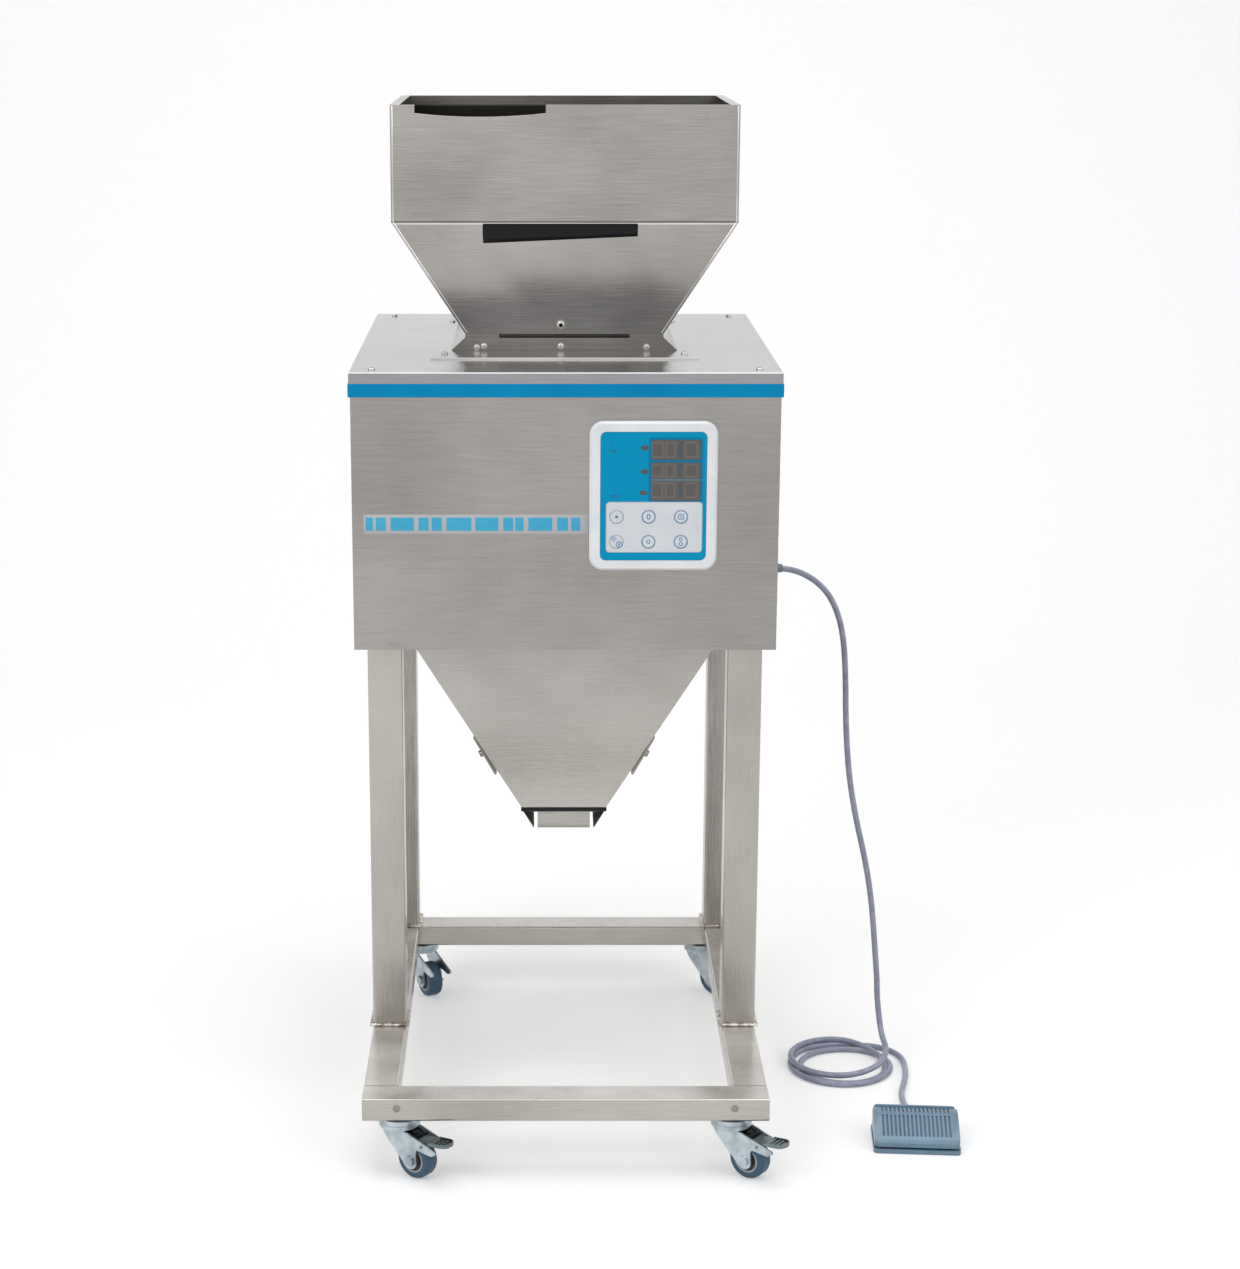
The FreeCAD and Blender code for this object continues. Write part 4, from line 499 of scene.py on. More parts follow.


# The brake's spring plate: a short steel pressing riveted between the cheeks under the crown, which
# closes the gap in front of each lever. Its near-black colour is painted shade for the crown's
# shadow in that gap.
joints = {joint["name"]: joint for joint in frame["record"]["behaviour"]["joints"]}
SPRING_UP, SPRING_DOWN, SPRING_W, SPRING_T = (15.5, 51.8), (29.5, 47.6), 20.0, 1.6
TRAIL_TURN = -38.0
# Painted shade: the plate's steel is near-black, for the shadow under the crown.
spring_steel = brushed_stainless("painted_shade_spring_steel", "x", "#4d5558", "#23282a", 0.28)
middle = ((SPRING_UP[0] + SPRING_DOWN[0]) / 2, 0, (SPRING_UP[1] + SPRING_DOWN[1]) / 2)
lean = math.atan2(SPRING_UP[1] - SPRING_DOWN[1], SPRING_DOWN[0] - SPRING_UP[0])
spring = block(middle, ((SPRING_DOWN[0] - SPRING_UP[0]) / math.cos(lean), SPRING_W, SPRING_T),
               (0, lean, 0))
pick(spring, lambda middle, normal: normal.z > 0.8)
bpy.ops.mesh.bevel(offset=0.4 * MM, segments=2)
pick(spring, lambda middle, normal: normal.z > 0.9)
bpy.ops.mesh.inset(thickness=1.6 * MM)
bpy.ops.mesh.extrude_region_shrink_fatten(TRANSFORM_OT_shrink_fatten={"value": -0.6 * MM})
bpy.ops.object.mode_set(mode="OBJECT")
rivet = rod(Vector(middle) + Vector((0, 0, 0.9)), 3.4, 2.4, 24, (0, lean, 0))
pick(rivet, lambda middle, normal: normal.z > 0.9)
bpy.ops.mesh.bevel(offset=0.7 * MM, segments=3)
bpy.ops.object.mode_set(mode="OBJECT")
spring = join_all([spring, rivet])
for corner in BRAKED:
    swivel = Vector((*joints[corner + "_swivel"]["pos_m"][:2], 0))
    plate = bpy.data.objects.new("spring", spring.data.copy())
    bpy.context.scene.collection.objects.link(plate)
    plate.data.transform(Matrix.Translation(swivel)
                         @ Matrix.Rotation(math.radians(TRAIL_TURN), 4, "Z"))
    bpy.ops.object.select_all(action="DESELECT")
    plate.select_set(True)
    bpy.context.view_layer.objects.active = plate
    finish(plate, "brake_spring_" + corner, "caster_" + corner, spring_steel)
bpy.data.objects.remove(spring)


# Wheels: a slate-blue elastic tyre moulded on a dark hub with pale bearing and
# seat rings. Matt tread, a little dust in its grain.
AXLE_R, RING_R, HUB_R, SEAT_R, WHEEL_R = 4.6, 7.0, 11.8, 14.2, 22.0


def wheel_material(corner):
    """Hub and tyre colours by their distance from the axle's line."""
    roll = joints[corner + "_roll"]
    material, tree, shader = new_material("moulded_tyre_" + corner, {})
    place = add_node(tree, "TexCoord", {}, {}).outputs["Object"]
    arm = add_node(tree, "VectorMath", {"operation": "SUBTRACT"}, {0: place, 1: roll["pos_m"]})
    cross = add_node(tree, "VectorMath", {"operation": "CROSS_PRODUCT"}, {0: arm.outputs[0],
                                                                          1: roll["axis"]})
    reach = add_node(tree, "VectorMath", {"operation": "LENGTH"}, {0: cross.outputs[0]})
    share = add_node(tree, "Math", {"operation": "MULTIPLY"}, {0: reach.outputs["Value"],
                                                               1: 1 / (WHEEL_R * MM)})
    rings = add_node(tree, "ValToRGB", {}, {"Fac": share.outputs[0]})
    ramp = rings.color_ramp
    ramp.interpolation = "CONSTANT"
    ramp.elements[0].color = linear("#8f979b")
    ramp.elements[1].position = AXLE_R / WHEEL_R
    ramp.elements[1].color = linear("#a9adae")
    for radius, code in ((RING_R, "#3d342f"), (HUB_R, "#9aa7ae"), (SEAT_R, "#2d4d63")):
        ramp.elements.new(radius / WHEEL_R).color = linear(code)
    dust = add_node(tree, "TexNoise", {}, {"Vector": place, "Scale": 160.0, "Detail": 5.0})
    film = add_node(tree, "MapRange", {}, {"Value": dust, "From Min": 0.45, "From Max": 0.8,
                                           "To Min": 0.0, "To Max": 0.30})
    rough = add_node(tree, "MapRange", {}, {"Value": dust, "To Min": 0.42, "To Max": 0.62})
    bump = add_node(tree, "Bump", {}, {"Height": dust, "Strength": 0.15, "Distance": 0.4 * MM})
    feed(tree, shader, {"Base Color": layered(tree, rings.outputs[0], (linear("#56707f"), film)),
                        "Roughness": rough, "Normal": bump})
    return material


for corner in BRAKED + FREE:
    dress(wheel_material(corner), "wheel_" + corner)


# Cabinet: folded 1.5 mm stainless sheet, brushed from side to side, with a
# screwed rear cover and a floor sheet.
sheet_steel = brushed_stainless("brushed_stainless_sheet", "xy", "#a7a4a1", "#918e8c", 0.30)
dress(sheet_steel, "cabinet_shell", "rear_cover", "cabinet_floor")


# Lid and cover plate: brushed stainless laid flat, smoother and brighter than
# the sides, fixed with button-head screws that have a round driver recess.
top_steel = brushed_stainless("brushed_stainless_lid", "x", "#a6a6a8", "#959597", 0.14)
softened("cabinet_lid", 0.5, 2, top_steel)
plate = softened("cover_plate", 0.5, 2, top_steel)
LID_TOP, PLATE_TOP, HEAD_SIDES = 840.5, 842.5, 28
# Painted highlight: the cover plate's edge faces above the lid are near-white, for the light its
# arrises catch.
edge_highlight = brushed_stainless("painted_edge_highlight", "xy", "#f6f4f1", "#dedbd7", 0.3)
plate.data.materials.append(edge_highlight)
for face in plate.data.polygons:
    face.material_index = int(face.normal.z < 0.95 and face.center.z > (LID_TOP + 0.1) * MM)
TOP_SCREWS = [(x, y, LID_TOP) for x in (-207.5, 207.5) for y in (-81, 390)]
TOP_SCREWS += [(x, y, PLATE_TOP) for x in (-133, 133) for y in (27, 317)]
screw_steel = brushed_stainless("turned_stainless_screw", "", "#dddbd8", "#a9a7a3", 0.12)
recess_steel = brushed_stainless("shaded_screw_recess", "", "#2e2d2c", "#1d1c1b", 0.35)


def screw_head(radius, height, washer):
    """A domed head with a driver recess, on Z above its seat, on a washer if it has one."""
    head = rod((0, 0, height / 2), radius, height, HEAD_SIDES)
    head.data.materials.append(screw_steel)
    head.data.materials.append(recess_steel)
    pick(head, lambda middle, normal: normal.z > 0.9)
    bpy.ops.mesh.bevel(offset=0.40 * height * MM, segments=3)
    pick(head, lambda middle, normal: normal.z > 0.99)
    bpy.ops.mesh.inset(thickness=0.16 * radius * MM)
    bpy.ops.mesh.extrude_region_move(TRANSFORM_OT_translate={"value": (0, 0, -0.75 * height * MM)})
    bpy.ops.mesh.select_more()
    head.active_material_index = 1
    bpy.ops.object.material_slot_assign()
    head.active_material_index = 0
    if washer:
        bpy.ops.mesh.primitive_cylinder_add(vertices=HEAD_SIDES, radius=washer * MM, depth=0.8 * MM,
                                            location=(0, 0, 0.4 * MM))
    bpy.ops.object.mode_set(mode="OBJECT")
    return head


def spread(head, matrices):
    """Copies of a piece, each with its own mesh, joined as one."""
    copies = []
    for matrix in matrices:
        copy = bpy.data.objects.new("copy", head.data.copy())
        bpy.context.scene.collection.objects.link(copy)
        copy.data.transform(matrix)
        copies.append(copy)
    bpy.data.objects.remove(head)
    return join_all(copies)


heads = spread(screw_head(3.6, 2.2, 0), [Matrix.Translation(Vector(at) * MM)
                                         for at in TOP_SCREWS])
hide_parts("top_screws")
finish(heads, "top_screw_heads", "machine", screw_steel)


# Trim band: an aluminium strip in gloss enamel, with the faint orange peel of
# sprayed paint, clipped round three sides under the lid.


def coated(name, light, dark, cloud_mm, grain_mm, roughness, depth, inputs):
    """A paint, plastic or rubber: two near tones in clouds and a fine surface relief."""
    material, tree, shader = new_material(name, inputs)
    place = add_node(tree, "TexCoord", {}, {}).outputs["Object"]
    cloud = add_node(tree, "TexNoise", {}, {"Vector": place, "Scale": 1000 / cloud_mm,
                                            "Detail": 3.0})
    tint = add_node(tree, "ValToRGB", {"stops": ((0.32, dark), (0.68, light))}, {0: cloud})
    grain = add_node(tree, "TexNoise", {}, {"Vector": place, "Scale": 1000 / grain_mm,
                                            "Detail": 3.0})
    rough = add_node(tree, "MapRange", {}, {"Value": grain, "To Min": roughness - 0.05,
                                            "To Max": roughness + 0.05})
    bump = add_node(tree, "Bump", {}, {"Height": grain, "Strength": 0.5, "Distance": depth * MM})
    feed(tree, shader, {"Base Color": tint, "Roughness": rough, "Normal": bump})
    return material


enamel = coated("gloss_blue_enamel", "#008abc", "#0080b2", 60.0, 2.5, 0.16, 0.02,
                {"Specular IOR Level": 0.08, "Coat Weight": 0.03, "Coat Roughness": 0.08})
softened("blue_band", 0.5, 2, enamel)


# Hopper: four folded stainless plates, brushed from side to side and welded along their corners,
# with a hem at the rim. Their inner faces are darker, painted shade for the hopper's shadowed
# inside.
hopper_steel = brushed_stainless("brushed_stainless_hopper", "xy", "#b6b3af", "#94918d", 0.22)
inside_steel = brushed_stainless("painted_shade_hopper_inside", "xy", "#8d8a86", "#74716d", 0.3)
SEAM_R, HOPPER_X, NECK_X, RIM_Z, FOLD_Z, NECK_Z = 1.1, 188.6, 108.8, 1112.0, 986.0, 861.0
HOPPER_Y, NECK_Y = (36.8, 302.2), (61.8, 277.2)
HOPPER_MIDDLE_Y, HEM_Z, BEND_HALF, BROAD_FACE = 169.5, 1102.0, 1.2, 100.0


def by_height(tree, low, high, start, end, about=0.0):
    """A share from start to end over a span of heights in millimetres, about a level if given."""
    place = add_node(tree, "TexCoord", {}, {}).outputs["Object"]
    height = add_node(tree, "SeparateXYZ", {}, {0: place}).outputs["Z"]
    above = add_node(tree, "Math", {"operation": "SUBTRACT"}, {0: height, 1: about * MM})
    far = add_node(tree, "Math", {"operation": "ABSOLUTE"}, {0: above})
    return add_node(tree, "MapRange", {}, {"Value": far, "From Min": low * MM,
                                           "From Max": high * MM, "To Min": start, "To Max": end})


# Painted highlight and shade along the bend: a dark line with a bright one below it, where the fold
# meets the light; and painted shade darkens the inside under the hem.
overlay(hopper_steel, "#4f4c4a", lambda tree: by_height(tree, BEND_HALF, 0, 0, 1, FOLD_Z + 0.8))
overlay(hopper_steel, "#e9e6e2", lambda tree: by_height(tree, BEND_HALF, 0, 0, 1, FOLD_Z - 1.4))
# Painted shadow: below the hem the inner faces go near-black.
overlay(inside_steel, "#1b1918", lambda tree: by_height(tree, HEM_Z + 1.0, HEM_Z - 1.5, 0, 0.9))
for plate in ("hopper_front_plate", "hopper_rear_plate", "hopper_side_plates"):
    sheet = softened(plate, 0.5, 2, hopper_steel)
    sheet.data.materials.append(inside_steel)
    # Broad faces that look into the hopper take the inside's painted shade.
    for face in sheet.data.polygons:
        inward = Vector((0, HOPPER_MIDDLE_Y * MM, face.center.z)) - face.center
        face.material_index = int(face.area > BROAD_FACE * MM ** 2 and inward.dot(face.normal) > 0
                                  and face.normal.z < 0.9)
seam_steel = brushed_stainless("ground_corner_weld", "z", "#dedbd6", "#b5b1ac", 0.16)
seams = []
for way in (-1, 1):
    for hopper_y, neck_y in zip(HOPPER_Y, NECK_Y):
        corner = [Vector((way * HOPPER_X, hopper_y, RIM_Z)),
                  Vector((way * HOPPER_X, hopper_y, FOLD_Z)),
                  Vector((way * NECK_X, neck_y, NECK_Z))]
        for start, end in zip(corner, corner[1:]):
            run = end - start
            seam = rod((start + end) / 2, SEAM_R, run.length, 12,
                       run.to_track_quat("Z", "Y").to_euler())
            pick(seam, lambda middle, normal: abs(normal.dot(run.normalized())) > 0.9)
            bpy.ops.mesh.bevel(offset=0.5 * SEAM_R * MM, segments=3)
            bpy.ops.object.mode_set(mode="OBJECT")
            seams.append(seam)
finish(join_all(seams), "hopper_corner_welds", "machine", seam_steel)


# Sight pane: dark acrylic in the front slope under the bend, deeper at its left
# end and glued in 0.4 mm proud of the sheet.
acrylic = coated("dark_acrylic_pane", "#0f1011", "#0b0c0d", 40.0, 6.0, 0.12, 0.005,
                 {"IOR": 1.49, "Specular IOR Level": 0.2})
PANE_X, PANE_TOP, PANE_LOW, PANE_T, PANE_PROUD = (-90.0, 80.3), 984.8, (963.0, 970.7), 1.2, 0.4
BEND_Y, LEAN = 37.0, math.atan2(25.0, 126.0)
outward = Vector((0, -math.cos(LEAN), -math.sin(LEAN)))


def on_slope(x, z, proud):
    """A place on the hopper's front slope, so far proud of it."""
    return Vector((x, BEND_Y + (FOLD_Z - z) * math.tan(LEAN), z)) + outward * proud


pane = block(
    on_slope(sum(PANE_X) / 2, (PANE_TOP + PANE_LOW[0]) / 2, PANE_PROUD - PANE_T / 2),
    (PANE_X[1] - PANE_X[0], PANE_T, (PANE_TOP - PANE_LOW[0]) / math.cos(LEAN)), (LEAN, 0, 0))
low_left, low_right = [on_slope(x, z, 0) for x, z in zip(PANE_X, PANE_LOW)]
bpy.ops.object.mode_set(mode="EDIT")
bpy.ops.mesh.select_all(action="SELECT")
bpy.ops.mesh.bisect(plane_co=low_left * MM, use_fill=True, clear_outer=True,
                    plane_no=(low_right - low_left).cross(outward).normalized())
bpy.ops.mesh.select_all(action="SELECT")
bpy.ops.mesh.bevel(offset=0.15 * MM, segments=2)
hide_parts("sight_window")
finish(pane, "front_sight_pane", "machine", acrylic)


# Gate and collar: the shut-off plate in its slot, dark as painted shade for the slot's black, over
# a bent stainless collar with scratched face, held by bright pan-head screws.
collar_steel = brushed_stainless("scratched_stainless_collar", "x", "#94918c", "#716e6a", 0.18)
dress(collar_steel, "feed_collar", "gate_frame")
dark_steel = brushed_stainless("dark_steel_and_painted_shade", "x", "#4a4846", "#343230", 0.4)
# The gate's dark steel is painted shade, for the shadow in its slot.
dress(dark_steel, "flow_gate")
COLLAR_FRONT, COLLAR_SCREW_Z = 57.0, 847.5
COLLAR_SCREWS = ((-98, -1.5), (-90, 0), (-4, 0), (92, -1))
GATE_SCREW = (-4, 59.76, 871.3)
facing = Matrix.Rotation(math.radians(90), 4, "X")
heads = spread(screw_head(2.9, 2.4, 3.6),
               [Matrix.Translation(Vector((x, COLLAR_FRONT, COLLAR_SCREW_Z + z)) * MM) @ facing
                for x, z in COLLAR_SCREWS])
clamp = spread(screw_head(4.2, 3.6, 5.4),
               [Matrix.Translation(Vector(GATE_SCREW) * MM)
                @ Matrix.Rotation(math.radians(90) + LEAN, 4, "X")])
heads = join_all([heads, clamp])
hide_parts("front_screws")
finish(heads, "front_screw_heads", "machine", screw_steel)


# Control panel: a white ABS housing round a printed polycarbonate face, smoked
# display panes and six domed keys. All its print is plain shapes.
abs_white = coated("moulded_white_abs", "#e9ebee", "#dcdfe3", 50.0, 1.2, 0.30, 0.02,
                   {"Coat Weight": 0.2, "Coat Roughness": 0.15})
softened("panel_bezel", 1.6, 4, abs_white)


SOFT_EDGE = 0.1


def shape_mask(tree, place, x, z, width, height, corner):
    """1 inside a rounded rectangle seen from the front, 0 outside, in millimetres."""
    flat = add_node(tree, "Mapping", {}, {"Vector": place, "Location": (-x * MM, 0, -z * MM),
                                          "Scale": (1, 0, 1)})
    size = add_node(tree, "VectorMath", {"operation": "ABSOLUTE"}, {0: flat.outputs[0]})
    past = add_node(tree, "VectorMath", {"operation": "SUBTRACT"}, {
        0: size.outputs[0], 1: ((width / 2 - corner) * MM, 0, (height / 2 - corner) * MM)})
    out = add_node(tree, "VectorMath", {"operation": "MAXIMUM"}, {0: past.outputs[0],
                                                                  1: (0, 0, 0)})
    far = add_node(tree, "VectorMath", {"operation": "LENGTH"}, {0: out.outputs[0]})
    return add_node(tree, "MapRange", {}, {"Value": far.outputs["Value"],
                                           "From Min": (corner + SOFT_EDGE) * MM,
                                           "From Max": (corner - SOFT_EDGE) * MM})


def printed(tree, place, tone, prints):
    """Rounded shapes printed one over another: colour, x, z, width, height and corner of each."""
    return layered(tree, tone, *[(ink, shape_mask(tree, place, *shape)) for ink, *shape in prints])


def ring(ink, ground, x, z, radius, line):
    """Two prints that leave a ring: a disc of ink, and a smaller disc of the ground on it."""
    inner = radius - line
    return [(ink, x, z, 2 * radius, 2 * radius, radius),
            (ground, x, z, 2 * inner, 2 * inner, inner)]


FACE_BLUE, FACE_DEEP, KEY_PALE, KEY_LINE = "#0097c4", "#008cba", "#dde0e5", "#3f80b2"
face, tree, shader = new_material("printed_polycarbonate_face", {
    "Roughness": 0.30, "Specular IOR Level": 0.08, "Coat Weight": 0.03, "Coat Roughness": 0.12})
place = add_node(tree, "TexCoord", {}, {}).outputs["Object"]
cloud = add_node(tree, "TexNoise", {}, {"Vector": place, "Scale": 45.0, "Detail": 3.0})
tone = layered(tree, linear(FACE_BLUE), (linear(FACE_DEEP), cloud))
pale = layered(tree, linear(KEY_PALE), (linear("#cdd2d8"), cloud))
ink, faded = linear(KEY_LINE), linear("#b4c2cf")
prints = [(linear("#0a79a6"), 117.6, 737, 58, 70, 3),
          (linear("#cdbfc4"), 95.0, 674.5, 103.4, 55.2, 4),
          (pale, 95.0, 674.5, 101.8, 53.6, 3.4)]
for x, z in ((84.2, 760.6), (84.2, 734.9), (83.5, 712.0)):
    prints += [(linear("#4f5a60"), x, z, 8.4, 5.0, 2.5), (linear("#6a5a52"), x, z, 4.4, 3.0, 1.5)]
for x, z, width, height in ((50.5, 757.0, 7.0, 4.0), (49.0, 764.5, 4.0, 2.0),
                            (52.3, 708.4, 8.0, 3.6), (52.3, 715.0, 3.0, 1.6)):
    prints.append((linear("#1d7ea3"), x, z, width, height, 0.8))
left, middle, right, upper, lower = 54.7, 89.1, 123.8, 685.9, 658.6
for x, z in ((middle, upper), (right, upper), (middle, lower), (right, lower)):
    prints += ring(ink, pale, x, z, 6.9, 0.7)
prints += ring(faded, pale, left, upper, 6.6, 0.6) + [(ink, left, upper, 3.6, 2.8, 1.4)]
prints += [(ink, middle, upper, 4.2, 6.0, 2.1), (pale, middle, upper, 2.0, 3.8, 1.0)]
prints += [(ink, right, upper, 6.6, 5.8, 1.6), (pale, right, upper, 4.8, 4.0, 0.9),
           (ink, right, upper, 1.8, 1.8, 0.9)]
prints += ring(ink, pale, middle, lower, 2.2, 0.9) + [(pale, 91.4, 660.2, 1.6, 2.4, 0.6)]
prints += ring(ink, pale, right, 661.4, 2.0, 0.9) + ring(ink, pale, right, 656.2, 2.3, 0.9)
prints += ring(ink, pale, 51.6, 661.9, 3.0, 0.6) + [(ink, 51.6, 661.9, 2.2, 1.8, 0.9)]
prints += ring(ink, pale, 57.6, 655.6, 3.6, 1.0) + [(ink, 57.6, 655.6, 1.6, 3.6, 0.8)]
fine = add_node(tree, "TexNoise", {}, {"Vector": place, "Scale": 1400.0, "Detail": 2.0})
bump = add_node(tree, "Bump", {}, {"Height": fine, "Strength": 0.1, "Distance": 0.1 * MM})
feed(tree, shader, {"Base Color": printed(tree, place, tone, prints), "Normal": bump})
dress(face, "panel_overlay", *["key_%d" % number for number in range(1, 7)])

pane, tree, shader = new_material("smoked_display_pane", {
    "Roughness": 0.22, "Coat Weight": 0.5, "Coat Roughness": 0.05})
place = add_node(tree, "TexCoord", {}, {}).outputs["Object"]
cloud = add_node(tree, "TexNoise", {}, {"Vector": place, "Scale": 180.0, "Detail": 3.0})
tone = layered(tree, linear("#4a4643"), (linear("#55504d"), cloud))
prints = []
for z, height in ((758.6, 18.5), (736.2, 16.0), (714.8, 18.0)):
    for x, width in ((97.8, 13.2), (111.6, 11.0), (134.0, 14.2)):
        prints += [(linear("#5b5753"), x, z, width, height, 1.6),
                   (linear("#4b4745"), x, z, width - 4, height - 5, 2.2)]
    prints.append((linear("#39434a"), 122.4, z, 4.6, height, 0.6))
prints.append((linear("#3b88a5"), 117.6, 726.0, 53, 0.9, 0.4))
feed(tree, shader, {"Base Color": printed(tree, place, tone, prints)})
dress(pane, "display_windows")


# Decorative strip: printed vinyl film on the front sheet, pale grey with plain
# blue blocks, satin, 0.3 mm proud.
STRIP_X, STRIP_Z, STRIP_T, SHEET_FRONT = (-217.0, 24.0), (666.0, 687.0), 0.3, -103.0
BLOCK_H = 14.5
BLOCKS = ((-211.0, 8), (-198.5, 11), (-175.5, 25), (-152.5, 11), (-138.5, 11), (-114.5, 27),
          (-84.5, 25), (-61.5, 11), (-49.5, 9), (-27.0, 26), (-3.0, 12), (11.0, 10))
strip = block((sum(STRIP_X) / 2, SHEET_FRONT - STRIP_T / 2, sum(STRIP_Z) / 2),
              (STRIP_X[1] - STRIP_X[0], STRIP_T, STRIP_Z[1] - STRIP_Z[0]))
pick(strip, lambda middle, normal: normal.y < -0.9)
bpy.ops.mesh.bevel(offset=0.12 * MM, segments=2)
vinyl, tree, shader = new_material("printed_vinyl_film", {"Roughness": 0.35})
place = add_node(tree, "TexCoord", {}, {}).outputs["Object"]
cloud = add_node(tree, "TexNoise", {}, {"Vector": place, "Scale": 60.0, "Detail": 4.0})
grey = layered(tree, linear("#b9bbbe"), (linear("#abacae"), cloud))
blue = layered(tree, linear("#3cadd3"), (linear("#2fa0c8"), cloud))
prints = [(blue, x, sum(STRIP_Z) / 2, width, BLOCK_H, 0.4) for x, width in BLOCKS]
bump = add_node(tree, "Bump", {}, {"Height": cloud, "Strength": 0.1, "Distance": 0.2 * MM})
feed(tree, shader, {"Base Color": printed(tree, place, grey, prints), "Normal": bump})
finish(strip, "front_vinyl_strip", "machine", vinyl)


# Feeder, scale and bucket inside the cabinet: stainless trough and bucket, an
# aluminium load cell, a painted block with its magnet, a motor and a board.
dress(sheet_steel, "feeder_tray", "weigh_bucket", "bucket_door", "load_cell_stand")
dress(dark_steel, "leaf_springs")
dress(brushed_stainless("milled_aluminium", "y", "#c4c5c7", "#b1b2b4", 0.34), "load_cell")
dress(coated("hammered_grey_paint", "#6b6e70", "#5b5e60", 30.0, 3.0, 0.45, 0.1, {}),
      "feeder_base")
dress(coated("black_motor_paint", "#2b2d31", "#222428", 30.0, 2.0, 0.4, 0.05, {}), "door_motor")
dress(coated("green_circuit_board", "#1f5f38", "#174c2c", 12.0, 1.5, 0.35, 0.05, {}),
      "control_board")


# Funnel and chute: pyramid of brushed stainless plates, lighter towards its outlet as a painted
# reflection of the pale floor, over a black rubber frame and an open bag mouth whose inner faces
# are painted black as shade.
funnel_steel = brushed_stainless("brushed_stainless_funnel", "xy", "#aba7a3", "#918e8a", 0.28)
FUNNEL_Z, FUNNEL_TOP_Z = 325.0, 537.0
# Painted reflection: the funnel steel grows lighter from its top down to its outlet.
overlay(funnel_steel, "#dedad5", lambda tree: by_height(tree, FUNNEL_TOP_Z, FUNNEL_Z, 0, 0.7))
softened("discharge_funnel", 0.5, 2, funnel_steel)
softened("funnel_side_plates", 0.5, 2, collar_steel)
rubber = coated("black_moulded_rubber", "#161515", "#0e0d0d", 15.0, 1.0, 0.6, 0.05,
                {"Specular IOR Level": 0.3})
dress(rubber, "outlet_seal")

CHUTE_X, CHUTE_Y, CHUTE_Z = 94.0, (-2.0, 86.0), (301.0, 321.0)
CHUTE_BOTTOM, CHUTE_PLATE, CHUTE_T = 70.0, 60.0, 1.5
REAR_FROM, DARK_INSIDE_BELOW = 80.0, 319.0


def thicken(piece, wall):
    """Gives an open shell a wall, on its inner side."""
    made = piece.modifiers.new("wall", "SOLIDIFY")
    made.thickness, made.offset = wall * MM, -1.0
    bpy.ops.object.modifier_apply(modifier=made.name)


chute = block((0, sum(CHUTE_Y) / 2, sum(CHUTE_Z) / 2),
              (CHUTE_X, CHUTE_Y[1] - CHUTE_Y[0], CHUTE_Z[1] - CHUTE_Z[0]))
pick(chute, lambda middle, normal: normal.z < -0.9)
bpy.ops.transform.resize(value=(CHUTE_BOTTOM / CHUTE_X, 1, 1),
                         center_override=(0, sum(CHUTE_Y) / 2 * MM, CHUTE_Z[0] * MM))
bpy.ops.mesh.delete(type="ONLY_FACE")
pick(chute, lambda middle, normal: normal.z > 0.9)
bpy.ops.mesh.inset(thickness=4 * MM)
bpy.ops.mesh.delete(type="FACE")
for x in (-CHUTE_PLATE / 2, CHUTE_PLATE / 2):
    pick(chute, lambda middle, normal: normal.y < -0.9)
    bpy.ops.mesh.bisect(plane_co=(x * MM, 0, 0), plane_no=(1, 0, 0))
pick(chute, lambda middle, normal: normal.y < -0.9 and abs(middle.x) > CHUTE_PLATE / 2 * MM)
bpy.ops.mesh.delete(type="FACE")
bpy.ops.object.mode_set(mode="OBJECT")
thicken(chute, CHUTE_T)
ease(chute, 0.3, 2, 30.0)
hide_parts("discharge_chute")
finish(chute, "bag_mouth_chute", "machine", hopper_steel)
# Painted shade: the chute's inner side faces and its rear plate's inner face take the black rubber
# below the rim, for the shadowed inside of the bag mouth.
chute.data.materials.append(rubber)
for face in chute.data.polygons:
    inward = face.normal.x * face.center.x < -0.2 * abs(face.center.x)
    rear = face.normal.y < -0.9 and face.center.y > REAR_FROM * MM
    face.material_index = int((inward or rear) and face.center.z < DARK_INSIDE_BELOW * MM)


# Mains inlet and rocker at the rear, and the cord's gland at the side: moulded
# black polyamide and grey nylon with a fine spark-eroded texture.
plastic = coated("moulded_black_polyamide", "#1c1c1e", "#161618", 20.0, 0.8, 0.45, 0.04, {})
dress(plastic, "power_inlet", "pedal_switch")
ROCKER_X, ROCKER_Z = 150.0, 613.5
rocker, tree, shader = new_material("printed_rocker", {"Roughness": 0.28})
place = add_node(tree, "TexCoord", {}, {}).outputs["Object"]
black, white = linear("#18181a"), linear("#d8d8d8")
cloud = add_node(tree, "TexNoise", {}, {"Vector": place, "Scale": 300.0, "Detail": 2.0})
tone = layered(tree, black, (linear("#202022"), cloud))
prints = [(white, ROCKER_X, ROCKER_Z + 3.6, 0.8, 3.2, 0.3)]
prints += ring(white, black, ROCKER_X, ROCKER_Z - 3.6, 1.8, 0.6)
feed(tree, shader, {"Base Color": printed(tree, place, tone, prints)})
dress(rocker, "power_rocker")
gland = coated("moulded_grey_nylon", "#767b86", "#6a6f7a", 20.0, 1.0, 0.42, 0.04, {})
dress(gland, "cable_gland")


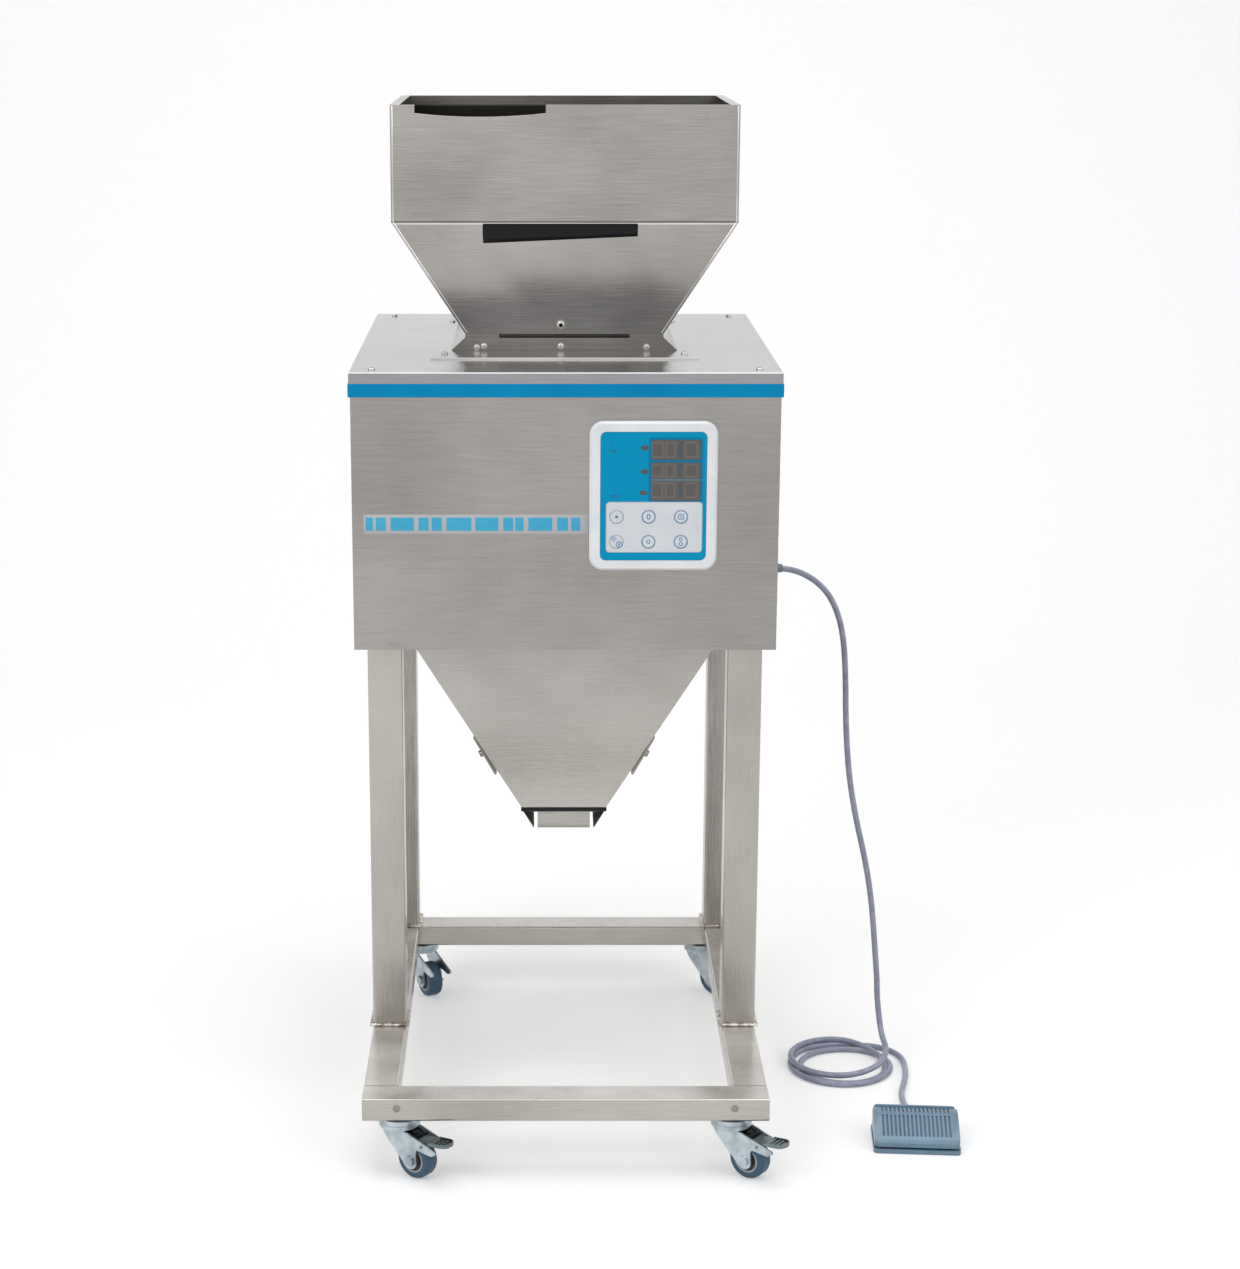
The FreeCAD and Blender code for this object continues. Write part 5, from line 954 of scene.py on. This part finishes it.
# Foot switch: die-cast cover and base in grey-blue baked paint with rounded
# edges, on a steel pin. The paint is semi-gloss with a slight orange peel.
pedal_paint = coated("grey_blue_baked_paint", "#68859a", "#5f7c91", 25.0, 1.6, 0.30, 0.05,
                     {"Coat Weight": 0.25, "Coat Roughness": 0.2})
PEDAL_AT, PEDAL_TURN = Vector((387.0, -194.0, 0.0)), math.radians(-4.0)
TREADLE_X, TREADLE_Y, TREADLE_Z = 93.0, 64.0, (7.5, 30.0)
LEDGE_Y, LIP_Z, TREADLE_WALL, CORNER_R, RIM_R, RIM_ANGLE = 9.0, 16.0, 2.0, 6.0, 1.8, 34.4
SLOPE_RUN = LEDGE_Y + 27.0
SLOPE_TURN = math.atan2(TREADLE_Z[1] - LIP_Z, SLOPE_RUN)
GROOVE_COUNT, GROOVE_SPAN, GROOVE_W, GROOVE_DEPTH, CUTTER_H = 17, 77.0, 2.2, 1.5, 3.0
PIN_X, PIN_Y, PIN_Z, PIN_HOLE_R = 46.5, 25.0, 12.5, 2.05
CORD_NOTCH_AT, CORD_NOTCH_SIZE = (0, 31.0, 8.5), (21.0, 8.0, 14.0)
FACETS = (((0, LEDGE_Y, TREADLE_Z[1]), (0, -math.sin(SLOPE_TURN), math.cos(SLOPE_TURN))),
          ((0, -32.0, 12.0), (0, -0.62, 0.78)), ((0, 32.0, 25.0), (0, 0.71, 0.71)))
treadle = block((0, 0, sum(TREADLE_Z) / 2), (TREADLE_X, TREADLE_Y, TREADLE_Z[1] - TREADLE_Z[0]))
bpy.ops.object.mode_set(mode="EDIT")
for point, outward in FACETS:
    bpy.ops.mesh.select_all(action="SELECT")
    bpy.ops.mesh.bisect(plane_co=Vector(point) * MM, plane_no=outward, use_fill=True,
                        clear_outer=True)
# The upright corners are rounded, and so are the last cut's edges, still picked.
bpy.ops.object.mode_set(mode="OBJECT")
for edge in treadle.data.edges:
    run = treadle.data.vertices[edge.vertices[1]].co - treadle.data.vertices[edge.vertices[0]].co
    edge.select = abs(run.z) > 0.9 * run.length
bpy.ops.object.mode_set(mode="EDIT")
bpy.ops.mesh.select_mode(type="EDGE")
bpy.ops.mesh.bevel(offset=CORNER_R * MM, segments=6)
bpy.ops.object.mode_set(mode="OBJECT")
pick(treadle, lambda middle, normal: normal.z < -0.9)
bpy.ops.mesh.delete(type="FACE")
bpy.ops.object.mode_set(mode="OBJECT")
ease(treadle, RIM_R, 4, RIM_ANGLE)
thicken(treadle, TREADLE_WALL)

# Painted shade: the groove faces that the bars cut take this darker paint, for the shade in the
# grooves.
groove_paint = coated("painted_shade_groove_paint", "#5c768a", "#50697d", 12.0, 1.6, 0.5, 0.05, {})
treadle.data.materials.append(pedal_paint)
cutters = []
for number in range(GROOVE_COUNT):
    x = ((number + 0.5) / GROOVE_COUNT - 0.5) * GROOVE_SPAN
    for middle_y, length, turn in ((-9.0, 30.0, SLOPE_TURN), (17.5, 13.0, 0.0)):
        drop = max(0.0, LEDGE_Y - middle_y) * math.tan(turn)
        bar = block((x, middle_y, TREADLE_Z[1] - drop + CUTTER_H / 2 - GROOVE_DEPTH),
                    (GROOVE_W, length / math.cos(turn), CUTTER_H), (turn, 0, 0))
        pick(bar, lambda middle, normal: True)
        bpy.ops.mesh.bevel(offset=0.4 * MM, segments=2)
        bpy.ops.object.mode_set(mode="OBJECT")
        bar.data.materials.append(groove_paint)
        cutters.append(bar)
for x in (-PIN_X, PIN_X):
    cutters.append(rod((x, PIN_Y, PIN_Z), PIN_HOLE_R, 8.0, 32, (0, math.radians(90), 0)))
cutters.append(block(CORD_NOTCH_AT, CORD_NOTCH_SIZE))
cutter = join_all(cutters)
bpy.ops.object.select_all(action="DESELECT")
bpy.context.view_layer.objects.active = treadle
cut = treadle.modifiers.new("grooves", "BOOLEAN")
cut.operation, cut.solver, cut.object = "DIFFERENCE", "EXACT", cutter
cut.material_mode = "TRANSFER"
bpy.ops.object.modifier_apply(modifier=cut.name)
bpy.data.objects.remove(cutter)
treadle.data.transform(Matrix.Translation(PEDAL_AT * MM) @ Matrix.Rotation(PEDAL_TURN, 4, "Z"))
treadle.select_set(True)
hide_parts("pedal_treadle")
treadle_body = next(body for body, names in bodies.items() if "pedal_treadle" in names)
finish(treadle, "cast_treadle", treadle_body, pedal_paint)
softened("pedal_base", 0.8, 3, pedal_paint)
dress(zinc, "pedal_pin")


# Strain relief where the cord enters the foot switch: a tapered, ribbed boot of
# soft PVC moulded on the cord.
BOOT_FOOT, BOOT_END, BANDS = Vector((389.3, -161.4, 8.5)), Vector((390.6, -137.0, 8.0)), 13
bpy.ops.object.select_all(action="DESELECT")
run = BOOT_END - BOOT_FOOT
bpy.ops.mesh.primitive_cone_add(vertices=32, radius1=5.4 * MM, radius2=4.2 * MM,
                                depth=run.length * MM, location=(BOOT_FOOT + BOOT_END) / 2 * MM,
                                rotation=run.to_track_quat("Z", "Y").to_euler())
boot = bpy.context.object
bpy.ops.object.mode_set(mode="EDIT")
for step in range(1, BANDS):
    bpy.ops.mesh.select_all(action="SELECT")
    bpy.ops.mesh.bisect(plane_co=(BOOT_FOOT + run * step / BANDS) * MM,
                        plane_no=run.normalized())
bpy.ops.object.mode_set(mode="OBJECT")
bpy.ops.object.transform_apply(location=True, rotation=True, scale=True)


def in_rib(middle, normal):
    """Every second band of the boot's side, which stands proud as a rib."""
    along = (middle / MM - BOOT_FOOT).dot(run) / run.length_squared
    return abs(normal.dot(run.normalized())) < 0.5 and int(along * BANDS) % 2 == 0


pick(boot, in_rib)
bpy.ops.mesh.extrude_region_shrink_fatten(TRANSFORM_OT_shrink_fatten={"value": 0.5 * MM})
finish(boot, "pedal_strain_relief", "machine", pvc)

bpy.context.view_layer.update()
